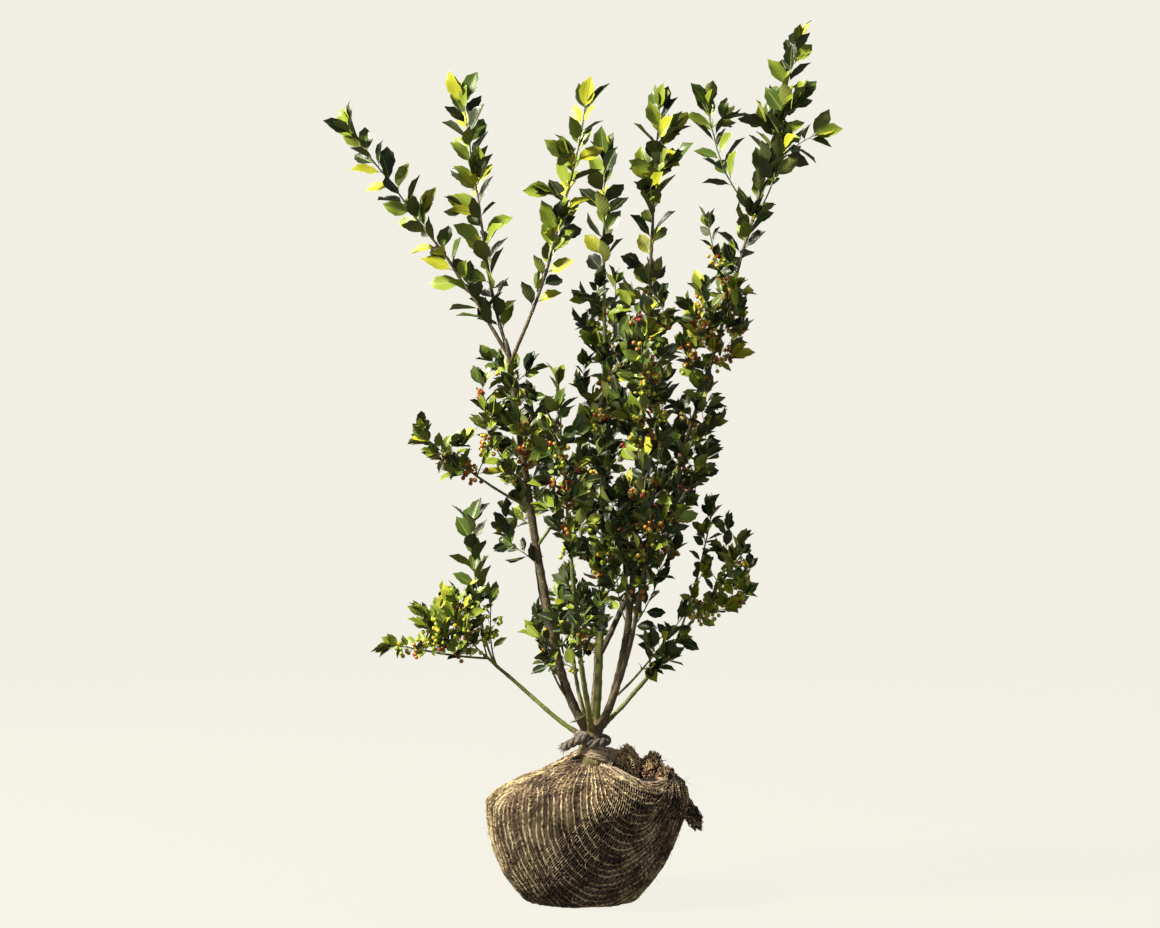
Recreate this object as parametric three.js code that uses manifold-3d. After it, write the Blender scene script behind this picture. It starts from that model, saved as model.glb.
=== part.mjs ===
// Young blue holly with several stems, standing on a root ball wrapped in jute net.
// Millimetres. +Z is up, +X is to the right of the front view, and +Y points away from the viewer.
// The origin is the middle of the flat underside of the root ball.
import * as THREE from 'three';
import { mergeVertices } from 'three/addons/utils/BufferGeometryUtils.js';
import Module from 'manifold-3d';

const wasm = await Module();
wasm.setup();

// Driving dimensions.
const gap = 0.4; // clearance that every cut leaves between neighbours
const ballHeight = 264; // top of the cone that the net makes round the trunk
const ballBellyHeight = 172; // where the ball is widest
const ballRadius = 175;
const ballFootRadius = 84; // flat underside
const neckRadius = 27; // mouth of the net
const neckShift = 26; // the trunk leaves the ball right of the middle of its foot
const crownHeight = 294; // where the stems part
const trunkRadius = 17;
const trunkFlare = 25; // radius of the root flare
const stemSpread = 5.1; // how far off the middle of the crown a stem starts
const unevenness = 0.16; // depth of the lumps on a mass, as a share of its radius
const shoulderSag = 17; // how far the left shoulder of the ball hangs below a round one

// How finely the shapes are divided.
const growthStep = 10; // spacing of the steps in which a limb turns as it grows
const limbStep = 95; // spacing of the rings along a limb
const limbSides = 6;
const massSides = 9;
const massRings = 6;
const ballSides = 24;
const ballCurveSteps = 5;
const trunkSides = 14;
const lumpSides = 10;
const lumpRings = 6;
const weldDistance = 1e-3;

// The ball's half section: the edge of its foot, sunk until the ground is cut away, and then the
// control point and the end of each curve up to the neck.
const ballFootEdge = [ballFootRadius * 0.82, -20];
const ballCurves = [
  { control: [ballRadius * 0.94, ballBellyHeight * 0.3], end: [ballRadius, ballBellyHeight] },
  { control: [ballRadius, ballBellyHeight * 1.26], end: [ballRadius * 0.62, ballHeight * 0.88] },
  { control: [neckRadius * 1.6, ballHeight * 0.97], end: [neckRadius, ballHeight] },
];

// Slack waves round the ball: depth as a share of the radius, and where each wave starts.
const slackWaves = [
  { count: 3, share: 0.022, start: 0.6, lean: 0 },
  { count: 5, share: 0.0132, start: 0, lean: 1 / 40 },
];

// Where the top of the ball has sunk: middle, reach across and in depth, and depth of each dent.
const dents = [
  { x: 106, y: -52, side: 52, deep: 46, depth: 32 },
  { x: 27, y: -27, side: 27, deep: 21, depth: 24 },
];
const dentFade = [ballBellyHeight * 0.7, ballHeight * 0.85]; // heights between which dents set in

// Lumps on a mass of leaves: waves round it, turning as they rise, each by its share of the depth.
const lumpWaves = [
  { count: 2, twist: 9, seedStep: 1.7, share: 0.6 },
  { count: 3, twist: -7, seedStep: 2.9, share: 0.4 },
];

// The trunk's half section, as radius and height about the crown, with its root flare.
const trunkSection = [
  [0, -50], [trunkFlare * 1.15, -50], [trunkFlare, -34], [trunkRadius, -12], [trunkRadius, 2],
  [trunkRadius * 0.75, 13], [0, 17],
];

// The tie: one rising turn round the neck, then a loose end by way of points from the crown.
const tieStrand = 6.5;
const tieTurn = { radius: trunkRadius + 8.5, from: 250, sweep: 345, below: 18, rise: 15, steps: 14 };
const tieLooseEnd = [[-8, -26, -3], [-32, -28, -9], [-52, -26, -14]];
const tieDetail = { sides: 3, rings: 34 };

// The hollow at the top right, where the soil shows, and the knots of net round it.
const hollow = { centre: [100, -6, 243], radii: [48, 34, 31], lean: 18 };
const knots = {
  jute_knot_inner: { centre: [86, 21, 243], radii: [18, 20, 31], lean: -12 },
  jute_knot_outer: { centre: [128, 17, 231], radii: [20, 20, 30], lean: 10 },
  jute_knot_tail: { centre: [194, -20, 156], radii: [16, 17, 31], lean: 150 },
};

const crown = new THREE.Vector3(neckShift - 4, 0, crownHeight);

const colours = {
  jute: 0x8a7350,
  soil: 0x2f2119,
  bark: 0x5b5138,
  greenBark: 0x7d8a3c,
  leaf: 0x3f5a26,
};

const materials = {
  jute: new THREE.MeshStandardMaterial({ color: colours.jute, roughness: 0.95, metalness: 0 }),
  soil: new THREE.MeshStandardMaterial({ color: colours.soil, roughness: 1, metalness: 0 }),
  bark: new THREE.MeshStandardMaterial({ color: colours.bark, roughness: 0.8, metalness: 0 }),
  greenBark: new THREE.MeshStandardMaterial({ color: colours.greenBark, roughness: 0.6, metalness: 0 }),
  leaf: new THREE.MeshStandardMaterial({ color: colours.leaf, roughness: 0.35, metalness: 0 }),
};

// Each limb leaves at lean[0] degrees from upright and settles to lean[1] as it grows, while its
// bearing turns from bearing[0] to bearing[1] (0 is right, 90 away, 180 left, 270 near).
// settle is the length over which most of that change happens. A limb springs from the crown
// of the roots, rise above its middle, or from the limb named by from, at the distance at along it.
const limbs = {
  left_stem: {
    lean: [38, 9], bearing: [190, 206], settle: 95, length: 700, radius: [9.5, 5], bark: 'bark',
  },
  right_centre_stem: {
    lean: [38, 5], bearing: [338, 305], settle: 115, length: 880, radius: [8.5, 3], bark: 'bark',
  },
  centre_stem: {
    lean: [7, 4], bearing: [40, 88], settle: 200, length: 860, radius: [8, 3], bark: 'greenBark',
  },
  low_left_stem: {
    rise: -6, lean: [88, 49], bearing: [172, 177], settle: 24, length: 240, radius: [5, 3],
    bark: 'greenBark',
  },
  low_right_stem: {
    lean: [48, 37], bearing: [2, 12], settle: 120, length: 330, radius: [5, 2.6], bark: 'greenBark',
  },
  front_stem: {
    lean: [48, 11], bearing: [262, 250], settle: 150, length: 370, radius: [6, 3.5], bark: 'greenBark',
  },
  front_right_stem: {
    lean: [48, 11], bearing: [310, 302], settle: 150, length: 330, radius: [6, 3.5], bark: 'bark',
  },
  rear_stem: {
    lean: [48, 10], bearing: [88, 76], settle: 150, length: 600, radius: [7.5, 3.5], bark: 'bark',
  },
  rear_left_stem: {
    lean: [44, 12], bearing: [142, 128], settle: 150, length: 430, radius: [6.5, 3.5], bark: 'bark',
  },
  low_rear_bough: {
    lean: [58, 40], bearing: [108, 100], settle: 120, length: 230, radius: [5, 2.8], bark: 'greenBark',
  },
  right_stem: {
    from: 'centre_stem', at: 135, lean: [27, 14], bearing: [6, 14], settle: 420,
    length: 880, radius: [6, 2.6], bark: 'bark',
  },
  left_tip_bough: {
    from: 'left_stem', at: 680, lean: [30, 50], bearing: [186, 182], settle: 700,
    length: 110, radius: [4, 3.2], bark: 'bark',
  },
  left_upright_bough: {
    from: 'left_stem', at: 690, lean: [22, 13], bearing: [150, 124], settle: 120,
    length: 90, radius: [3.8, 3.2], bark: 'bark',
  },
  left_inner_bough: {
    from: 'left_stem', at: 670, lean: [30, 9], bearing: [328, 322], settle: 330,
    length: 150, radius: [3.8, 3], bark: 'bark',
  },
  mid_left_branch: {
    from: 'left_stem', at: 415, lean: [66, 50], bearing: [194, 184], settle: 90,
    length: 105, radius: [3, 2.2], bark: 'greenBark',
  },
  left_cross_branch: {
    from: 'left_stem', at: 345, lean: [44, 36], bearing: [318, 330], settle: 120,
    length: 100, radius: [3.2, 2.4], bark: 'greenBark',
  },
  low_left_twig: {
    from: 'low_left_stem', at: 226, lean: [88, 76], bearing: [188, 184], settle: 90,
    length: 125, radius: [2.4, 1.8], bark: 'greenBark',
  },
  low_left_sprig: {
    from: 'low_left_stem', at: 210, lean: [30, 4], bearing: [165, 175], settle: 60,
    length: 60, radius: [2.4, 2], bark: 'greenBark',
  },
  low_right_twig: {
    from: 'low_right_stem', at: 215, lean: [24, 14], bearing: [24, 34], settle: 120,
    length: 120, radius: [2.4, 2], bark: 'greenBark',
  },
  low_inner_twig: {
    from: 'left_stem', at: 55, lean: [46, 20], bearing: [206, 216], settle: 60,
    length: 70, radius: [2.4, 2], bark: 'greenBark',
  },
  low_outer_twig: {
    from: 'right_centre_stem', at: 70, lean: [54, 36], bearing: [330, 334], settle: 80,
    length: 100, radius: [2.6, 2], bark: 'greenBark',
  },
};

// Each mass clothes its limb from the distance start along it, over length, and may reach past
// the limb's own end. side and depth are its greatest radii across and in depth, thin is how much
// it narrows towards its tip, and shift moves it off the limb.
const masses = {
  foliage_left_tip: { on: 'left_tip_bough', start: 60, length: 440, side: 34, depth: 42, thin: 0.1 },
  foliage_left_upright: { on: 'left_upright_bough', start: 45, length: 440, side: 42, depth: 44, thin: 0.1 },
  foliage_left_inner: { on: 'left_inner_bough', start: 110, length: 372, side: 48, depth: 48, thin: 0 },
  foliage_left_column: {
    on: 'left_stem', start: 450, length: 265, side: 80, depth: 88, thin: 0.2, shift: [-10, 0, 0],
  },
  foliage_left_low: {
    on: 'left_stem', start: 300, length: 150, side: 34, depth: 46, thin: 0, shift: [-42, 22, 0],
  },
  foliage_mid_left: {
    on: 'mid_left_branch', start: 85, length: 150, side: 48, depth: 56, thin: 0, shift: [-14, 0, 18],
  },
  foliage_low_left: {
    on: 'low_left_twig', start: -40, length: 170, side: 58, depth: 84, thin: 0.1, shift: [-8, 0, 62],
  },
  foliage_low_left_tip: { on: 'low_left_twig', start: 110, length: 90, side: 28, depth: 36, thin: 0 },
  foliage_low_left_sprig: { on: 'low_left_sprig', start: 140, length: 130, side: 28, depth: 34, thin: 0 },
  foliage_centre_column: { on: 'centre_stem', start: 440, length: 430, side: 60, depth: 78, thin: 0.15 },
  foliage_centre_tip: { on: 'centre_stem', start: 836, length: 200, side: 36, depth: 36, thin: 0.1 },
  foliage_right_centre_column: {
    on: 'right_centre_stem', start: 440, length: 450, side: 62, depth: 88, thin: 0.1,
  },
  foliage_right_centre_tip: {
    on: 'right_centre_stem', start: 865, length: 255, side: 50, depth: 50, thin: 0.1,
  },
  foliage_core: { on: 'right_centre_stem', start: 270, length: 215, side: 90, depth: 92, thin: 0.1 },
  foliage_front_column: { on: 'front_stem', start: 320, length: 370, side: 64, depth: 70, thin: 0.35 },
  foliage_front_right: { on: 'front_right_stem', start: 280, length: 300, side: 66, depth: 74, thin: 0.1 },
  foliage_cross: { on: 'left_cross_branch', start: 60, length: 190, side: 46, depth: 54, thin: 0 },
  foliage_rear_column: { on: 'rear_stem', start: 280, length: 350, side: 88, depth: 88, thin: 0.1 },
  foliage_rear_top: { on: 'rear_stem', start: 600, length: 270, side: 58, depth: 58, thin: 0.2 },
  foliage_rear_left: { on: 'rear_left_stem', start: 380, length: 300, side: 62, depth: 72, thin: 0.2 },
  foliage_right_low: {
    on: 'right_stem', start: 215, length: 320, side: 62, depth: 70, thin: 0, shift: [8, 0, 0],
  },
  foliage_right_column: {
    on: 'right_stem', start: 500, length: 270, side: 74, depth: 78, thin: 0.15, shift: [-16, 0, 0],
  },
  foliage_right_tip: { on: 'right_stem', start: 750, length: 180, side: 38, depth: 42, thin: 0 },
  foliage_right_top: { on: 'right_stem', start: 920, length: 245, side: 46, depth: 46, thin: 0 },
  foliage_low_right: { on: 'low_right_stem', start: 265, length: 165, side: 66, depth: 70, thin: 0 },
  foliage_low_right_sprig: {
    on: 'low_right_twig', start: 125, length: 130, side: 50, depth: 50, thin: 0, shift: [12, 0, 26],
  },
  foliage_low_inner: { on: 'low_inner_twig', start: 50, length: 120, side: 38, depth: 46, thin: 0 },
  foliage_low_outer: { on: 'low_outer_twig', start: 70, length: 150, side: 46, depth: 50, thin: 0 },
  foliage_low_front: { on: 'front_stem', start: 160, length: 160, side: 56, depth: 60, thin: 0 },
  foliage_low_rear: { on: 'low_rear_bough', start: 160, length: 200, side: 78, depth: 70, thin: 0 },
  foliage_right_tip_left: {
    on: 'right_stem', start: 930, length: 120, side: 30, depth: 34, thin: 0, shift: [-82, 8, 20],
  },
  foliage_right_tip_right: {
    on: 'right_stem', start: 880, length: 150, side: 28, depth: 34, thin: 0, shift: [62, -8, 20],
  },
};

const radians = THREE.MathUtils.degToRad;

function heading(lean, bearing) {
  const across = Math.sin(radians(lean));
  return new THREE.Vector3(
    across * Math.cos(radians(bearing)),
    across * Math.sin(radians(bearing)),
    Math.cos(radians(lean)),
  );
}

// The point at a distance along a limb's line of growth, which goes on past the limb's own end.
function pointOn(limb, distance) {
  const point = originOf(limb);
  for (let along = 0; along < distance; along += growthStep) {
    const stride = Math.min(growthStep, distance - along);
    const young = Math.exp(-(along + stride / 2) / limb.settle);
    const lean = THREE.MathUtils.lerp(limb.lean[1], limb.lean[0], young);
    const bearing = THREE.MathUtils.lerp(limb.bearing[1], limb.bearing[0], young);
    point.addScaledVector(heading(lean, bearing), stride);
  }
  return point;
}

function originOf(limb) {
  if (limb.from) return pointOn(limbs[limb.from], limb.at);
  const start = crown.clone().addScaledVector(heading(90, limb.bearing[0]), stemSpread);
  start.z += limb.rise || 0;
  return start;
}

function lineOfGrowth(limb, start, length, rings) {
  const points = [];
  for (let i = 0; i <= rings; i++) points.push(pointOn(limb, start + (length * i) / rings));
  return new THREE.CatmullRomCurve3(points);
}

// Bends a geometry made round the Y axis, from y = -1 to y = 1, so that it follows a curve.
// spread gives the two radii at a share of the curve's length and an angle round it.
function wrapRound(geometry, curve, spread) {
  const place = geometry.attributes.position;
  const vertex = new THREE.Vector3();
  for (let i = 0; i < place.count; i++) {
    vertex.fromBufferAttribute(place, i);
    const share = THREE.MathUtils.clamp((vertex.y + 1) / 2, 0, 1);
    const tangent = curve.getTangent(share);
    const across = new THREE.Vector3(1, 0, 0).addScaledVector(tangent, -tangent.x).normalize();
    const deep = new THREE.Vector3().crossVectors(across, tangent);
    const radii = spread(share, Math.atan2(vertex.z, vertex.x));
    const centre = curve.getPoint(share);
    centre.addScaledVector(across, vertex.x * radii[0]).addScaledVector(deep, vertex.z * radii[1]);
    place.setXYZ(i, centre.x, centre.y, centre.z);
  }
  return geometry;
}

function toSolid(geometry) {
  const bare = geometry.clone();
  bare.deleteAttribute('normal');
  bare.deleteAttribute('uv');
  const merged = mergeVertices(bare, weldDistance);
  return new wasm.Manifold(new wasm.Mesh({
    numProp: 3,
    vertProperties: new Float32Array(merged.attributes.position.array),
    triVerts: new Uint32Array(merged.index.array),
  }));
}

// The largest piece is kept, as a cut may leave crumbs.
function cutBy(solid, cutters) {
  let rest = solid;
  for (const cutter of cutters) rest = rest.subtract(cutter);
  const pieces = rest.decompose();
  return pieces.reduce((best, piece) => (piece.volume() > best.volume() ? piece : best));
}

function toMesh(name, solid, material) {
  const { vertProperties, triVerts } = solid.getMesh();
  const geometry = new THREE.BufferGeometry();
  geometry.setAttribute('position', new THREE.BufferAttribute(new Float32Array(vertProperties), 3));
  geometry.setIndex(new THREE.BufferAttribute(new Uint32Array(triVerts), 1));
  geometry.computeVertexNormals();
  const mesh = new THREE.Mesh(geometry, material);
  mesh.name = name;
  return mesh;
}

function limbSolid(limb, extra = 0) {
  const rings = Math.max(2, Math.round(limb.length / limbStep));
  const tube = new THREE.CylinderGeometry(1, 1, 2, limbSides, rings);
  const radiusAt = (share) => THREE.MathUtils.lerp(limb.radius[0], limb.radius[1], share) + extra;
  const curve = lineOfGrowth(limb, 0, limb.length + extra, rings);
  return toSolid(wrapRound(tube, curve, (share) => [radiusAt(share), radiusAt(share)]));
}

function massSolid(mass, seed, extra = 0) {
  const ball = new THREE.SphereGeometry(1, massSides, massRings);
  const curve = lineOfGrowth(limbs[mass.on], mass.start - extra, mass.length + 2 * extra, massRings);
  const spread = (share, angle) => {
    const lump = lumpWaves.reduce((sum, wave) => {
      const phase = wave.count * angle + wave.twist * share + seed * wave.seedStep;
      return sum + wave.share * Math.sin(phase);
    }, 0);
    const size = (1 - mass.thin * share) * (1 + unevenness * lump);
    return [mass.side * size + extra, mass.depth * size + extra];
  };
  const shape = wrapRound(ball, curve, spread);
  shape.translate(...(mass.shift || [0, 0, 0]));
  return toSolid(shape);
}

// How far a point of the ball's round shape has sunk.
function sunkBy(x, y, height, angle) {
  const shoulder = THREE.MathUtils.clamp((height - ballBellyHeight) / (ballHeight - ballBellyHeight), 0, 1);
  const sag = shoulderSag * Math.max(0, -Math.cos(angle)) * Math.sin(Math.PI * shoulder);
  const top = THREE.MathUtils.smoothstep(height, ...dentFade);
  return dents.reduce((sum, dent) => {
    const far = ((x - dent.x) / dent.side) ** 2 + ((y - dent.y) / dent.deep) ** 2;
    return sum + dent.depth * Math.exp(-far) * top;
  }, sag);
}

// Root ball: rounded underneath, a slack cone above, and flat where it stands.
function ballSolid(extra = 0) {
  const profile = new THREE.Path();
  profile.moveTo(0, ballFootEdge[1]);
  profile.lineTo(...ballFootEdge);
  for (const { control, end } of ballCurves) {
    const neckRise = end[1] === ballHeight ? extra : 0;
    profile.quadraticCurveTo(...control, end[0], end[1] + neckRise);
  }
  profile.lineTo(0, ballHeight + extra);
  const lathe = new THREE.LatheGeometry(profile.getPoints(ballCurveSteps), ballSides);
  lathe.rotateX(Math.PI / 2);
  const place = lathe.attributes.position;
  for (let i = 0; i < place.count; i++) {
    const height = place.getZ(i);
    const angle = Math.atan2(place.getY(i), place.getX(i));
    const rise = THREE.MathUtils.smoothstep(height, 0, ballBellyHeight);
    const slack = slackWaves.reduce((sum, wave) => {
      const phase = wave.count * angle + wave.start + height * wave.lean;
      return sum + wave.share * rise * Math.sin(phase);
    }, 1);
    const grown = slack * (1 + extra / ballRadius);
    const lean = neckShift * (Math.max(height, 0) / ballHeight) ** 2;
    const x = place.getX(i) * grown + lean;
    const y = place.getY(i) * grown;
    place.setXYZ(i, x, y, height - sunkBy(x, y, height, angle));
  }
  const ground = new THREE.BoxGeometry(4 * ballRadius, 4 * ballRadius, ballRadius);
  ground.translate(0, 0, -ballRadius / 2);
  return toSolid(lathe).subtract(toSolid(ground));
}

// Short trunk with its root flare, sunk a little way into the ball.
function crownSolid(extra = 0) {
  const outline = trunkSection.map(([radius, height]) => {
    const out = radius > 0 ? radius + extra : 0;
    return new THREE.Vector2(out, height + Math.sign(height) * extra);
  });
  const lathe = new THREE.LatheGeometry(outline, trunkSides);
  lathe.rotateX(Math.PI / 2);
  lathe.translate(crown.x, crown.y, crown.z);
  return toSolid(lathe);
}

function lumpSolid({ centre, radii, lean }) {
  const shape = new THREE.SphereGeometry(1, lumpSides, lumpRings);
  shape.scale(...radii);
  shape.rotateY(radians(lean));
  shape.translate(...centre);
  return toSolid(shape);
}

function tieSolid() {
  const route = [];
  for (let i = 0; i <= tieTurn.steps; i++) {
    const share = i / tieTurn.steps;
    const angle = radians(tieTurn.from + tieTurn.sweep * share);
    route.push(new THREE.Vector3(
      crown.x + tieTurn.radius * Math.cos(angle),
      crown.y + tieTurn.radius * Math.sin(angle),
      crown.z - tieTurn.below + tieTurn.rise * share,
    ));
  }
  for (const point of tieLooseEnd) route.push(crown.clone().add(new THREE.Vector3(...point)));
  const section = new THREE.Shape().absarc(0, 0, tieStrand, 0, 2 * Math.PI);
  return toSolid(new THREE.ExtrudeGeometry(section, {
    curveSegments: tieDetail.sides,
    steps: tieDetail.rings,
    extrudePath: new THREE.CatmullRomCurve3(route),
  }));
}

const plant = new THREE.Group();

const limbEntries = Object.entries(limbs);
const massEntries = Object.entries(masses);
const trunk = crownSolid();
const trunkCutter = crownSolid(gap);
const grownLimbs = limbEntries.map(([, limb]) => limbSolid(limb, gap));

plant.add(toMesh('root_crown', trunk, materials.bark));
limbEntries.forEach(([name, limb], i) => {
  const solid = cutBy(limbSolid(limb), [trunkCutter, ...grownLimbs.slice(0, i)]);
  plant.add(toMesh(name, solid, materials[limb.bark]));
});

const grownMasses = massEntries.map(([, mass], i) => massSolid(mass, i, gap));
massEntries.forEach(([name, mass], i) => {
  const solid = cutBy(massSolid(mass, i), [...grownLimbs, ...grownMasses.slice(0, i)]);
  plant.add(toMesh(name, solid, materials.leaf));
});

const ball = cutBy(ballSolid(), [trunkCutter, lumpSolid(hollow)]);
plant.add(toMesh('root_ball', ball, materials.soil));

const ballCutter = ballSolid(gap);
for (const [name, knot] of Object.entries(knots)) {
  plant.add(toMesh(name, cutBy(lumpSolid(knot), [ballCutter, trunkCutter]), materials.jute));
}

const tie = cutBy(tieSolid(), [trunkCutter, ballCutter, ...grownLimbs]);
plant.add(toMesh('neck_tie', tie, materials.jute));

export default plant;
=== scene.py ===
# Young blue holly with berries, dug with its root ball and wrapped in jute net.
import math
from random import Random

import bmesh
import bpy
import numpy as np
from mathutils import Matrix, Vector, noise
from mathutils.bvhtree import BVHTree


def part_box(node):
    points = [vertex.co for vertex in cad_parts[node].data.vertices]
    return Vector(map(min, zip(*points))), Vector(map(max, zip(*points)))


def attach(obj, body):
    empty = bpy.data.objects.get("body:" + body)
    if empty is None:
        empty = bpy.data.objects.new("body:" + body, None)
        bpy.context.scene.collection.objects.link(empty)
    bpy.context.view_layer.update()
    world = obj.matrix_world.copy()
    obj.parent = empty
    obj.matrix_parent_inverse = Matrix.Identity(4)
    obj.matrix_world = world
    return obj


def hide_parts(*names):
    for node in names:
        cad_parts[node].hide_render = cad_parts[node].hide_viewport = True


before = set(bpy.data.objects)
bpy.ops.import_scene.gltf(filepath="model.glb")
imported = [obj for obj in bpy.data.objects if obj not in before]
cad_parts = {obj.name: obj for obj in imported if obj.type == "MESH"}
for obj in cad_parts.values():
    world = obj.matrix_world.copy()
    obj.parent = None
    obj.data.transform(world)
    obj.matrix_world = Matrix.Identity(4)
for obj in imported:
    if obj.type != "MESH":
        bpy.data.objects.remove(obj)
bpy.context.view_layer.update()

mm = 0.001
up = Vector((0, 0, 1))
noise.seed_set(5)     # the noise vectors would start from the clock otherwise
nodeNames = sorted(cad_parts)
massNames = [name for name in nodeNames if name.startswith("foliage_")]


def report(stage):
    print("scene:", stage)


def linear(hexColour):
    channels = [int(hexColour[i:i + 2], 16) / 255 for i in (1, 3, 5)]
    return tuple(c / 12.92 if c <= 0.04045 else ((c + 0.055) / 1.055) ** 2.4 for c in channels) + (1.0,)


def addNode(tree, kind, inputs=(), stops=(), **settings):
    made = tree.nodes.new("ShaderNode" + kind)
    for name, value in settings.items():
        setattr(made, name, value)
    for name, value in dict(inputs).items():
        if isinstance(value, bpy.types.NodeSocket):
            tree.links.new(value, made.inputs[name])
        else:
            made.inputs[name].default_value = value
    for i, (place, colour) in enumerate(stops):
        ramp = made.color_ramp.elements
        if i >= len(ramp):
            ramp.new(place)
        ramp[i].position = place
        ramp[i].color = linear(colour)
    return made


def newMaterial(name, **shader):
    material = bpy.data.materials.new(name)
    material.use_nodes = True
    tree = material.node_tree
    surface = tree.nodes["Principled BSDF"]
    for socket, value in shader.items():
        surface.inputs[socket.replace("_", " ")].default_value = value
    return material, tree, surface


def finishPiece(piece, slotName, *stoodFor):
    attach(piece, "root")
    if stoodFor:
        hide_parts(*stoodFor)
    return piece


def newObject(name, mesh, *materials):
    thing = bpy.data.objects.new(name, mesh)
    bpy.context.scene.collection.objects.link(thing)
    for material in materials:
        mesh.materials.append(material)
    return thing


# A skin spun from a section of radius and height in metres.
def spun(section, steps, gap=1e-5):
    bm = bmesh.new()
    line = [bm.verts.new((radius, 0, height)) for radius, height in section]
    edges = [bm.edges.new(pair) for pair in zip(line, line[1:])]
    bmesh.ops.spin(bm, geom=line + edges, axis=up, angle=math.tau, steps=steps, use_merge=True)
    bmesh.ops.remove_doubles(bm, verts=bm.verts, dist=gap)
    return bm


def meshFrom(bm, name):
    mesh = bpy.data.meshes.new(name)
    bm.to_mesh(mesh)
    bm.free()
    mesh.shade_smooth()
    return mesh


def scatter(rng, spread):
    return Vector([rng.gauss(0, spread) for _ in range(3)])


# Round threads, twigs and stems: one curve of many open lines, swept round and made a mesh.
def drawLines(name, lines, roundness, *materials):
    curve = bpy.data.curves.new(name, "CURVE")
    curve.dimensions = "3D"
    curve.bevel_depth = mm
    curve.bevel_resolution = roundness
    curve.use_fill_caps = True
    for points, radii in lines:
        line = curve.splines.new("POLY")
        line.points.add(len(points) - 1)
        line.points.foreach_set("co", [c for p in points for c in (p[0], p[1], p[2], 1)])
        line.points.foreach_set("radius", [r / mm for r in radii])
    swept = bpy.data.objects.new(name, curve)
    bpy.context.scene.collection.objects.link(swept)
    depsgraph = bpy.context.evaluated_depsgraph_get()
    mesh = bpy.data.meshes.new_from_object(swept.evaluated_get(depsgraph))
    bpy.data.objects.remove(swept)
    mesh.materials.clear()
    return newObject(name, mesh, *materials)


def applyModifiers(thing):
    depsgraph = bpy.context.evaluated_depsgraph_get()
    shaped = bpy.data.meshes.new_from_object(thing.evaluated_get(depsgraph))
    thing.modifiers.clear()
    thing.data = shaped
    return thing


def arraysOf(mesh):
    count = len(mesh.vertices)
    places, normals = np.empty(count * 3), np.empty(count * 3)
    mesh.vertices.foreach_get("co", places)
    mesh.vertices.foreach_get("normal", normals)
    return places.reshape(-1, 3), normals.reshape(-1, 3)


# Pushes every vertex along its normal by depth(place) metres.
def relieve(thing, depth):
    places, normals = arraysOf(thing.data)
    moved = [p + n * depth(Vector(p)) for p, n in zip(places, normals)]
    thing.data.vertices.foreach_set("co", np.array(moved).ravel())
    thing.data.update()


stage = {
    "cameraPlace": (0, -4.82, 0.767),
    "lens": 85,
    "floorRadius": 9, "sweepRadius": 4, "wallTop": 14, "below": 0.0003,
    "paleTone": "#F1EEE3", "glow": 1.0,
    "keyPlace": (-3.2, -1.6, 3.5), "keySize": 0.7, "keyPower": 520,
    "backPlace": (-2.4, 2.4, 2.6), "backSize": 1.6, "backPower": 90,
    "fillPlace": (2.2, -4.4, 1.6), "fillSize": 3.0, "fillPower": 20,
    "sky": 0.21,
}


def areaLight(name, place, size, power, tone, gloss):
    light = bpy.data.lights.new(name, "AREA")
    light.shape = "DISK"
    light.size = size
    light.energy = power
    light.color = linear(tone)[:3]
    light.specular_factor = gloss
    lamp = bpy.data.objects.new(name, light)
    lamp.location = place
    lamp.rotation_euler = (Vector((0, 0, 0.75)) - Vector(place)).to_track_quat("-Z", "Y").to_euler()
    bpy.context.scene.collection.objects.link(lamp)


def makeStage():
    camera = bpy.data.objects.new("camera", bpy.data.cameras.new("camera"))
    camera.data.lens = stage["lens"]
    camera.location = stage["cameraPlace"]
    camera.rotation_euler = (math.radians(90), 0, 0)
    bpy.context.scene.collection.objects.link(camera)
    bpy.context.scene.camera = camera
    bpy.context.scene.view_settings.view_transform = "Standard"

    # A round studio cove of pale matt paper, spun from its section.
    flat, sweep = stage["floorRadius"], stage["sweepRadius"]
    section = [(0, 0), (2, 0), (flat * 0.6, 0), (flat, 0)]
    for i in range(1, 9):
        turn = math.radians(90 * i / 8)
        section.append((flat + sweep * math.sin(turn), sweep * (1 - math.cos(turn))))
    section.append((flat + sweep, stage["wallTop"]))
    bm = spun([(x, z - stage["below"]) for x, z in section], 64)
    bmesh.ops.recalc_face_normals(bm, faces=bm.faces)
    material, tree, surface = newMaterial("paleMattPaper", Roughness=1.0)
    tone = linear(stage["paleTone"])
    dark = tuple(c * 0.02 for c in tone[:3]) + (1,)     # the glow alone gives the paper its tone
    surface.inputs["Base Color"].default_value = dark
    surface.inputs["Specular IOR Level"].default_value = 0
    surface.inputs["Emission Color"].default_value = tone
    surface.inputs["Emission Strength"].default_value = stage["glow"]
    cove = newObject("cove", meshFrom(bm, "cove"), material)
    cove.visible_diffuse = False
    cove.visible_glossy = False

    areaLight("key", stage["keyPlace"], stage["keySize"], stage["keyPower"], "#FFFAEE", 0.55)
    areaLight("back", stage["backPlace"], stage["backSize"], stage["backPower"], "#FFF8EA", 0.05)
    areaLight("fill", stage["fillPlace"], stage["fillSize"], stage["fillPower"], "#EEF4FF", 0.8)
    world = bpy.data.worlds.new("studio")
    bpy.context.scene.world = world
    world.use_nodes = True
    sky = world.node_tree.nodes["Background"]
    sky.inputs["Color"].default_value = linear("#F2F1EC")
    sky.inputs["Strength"].default_value = stage["sky"]


makeStage()
report("stage and camera")

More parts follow.
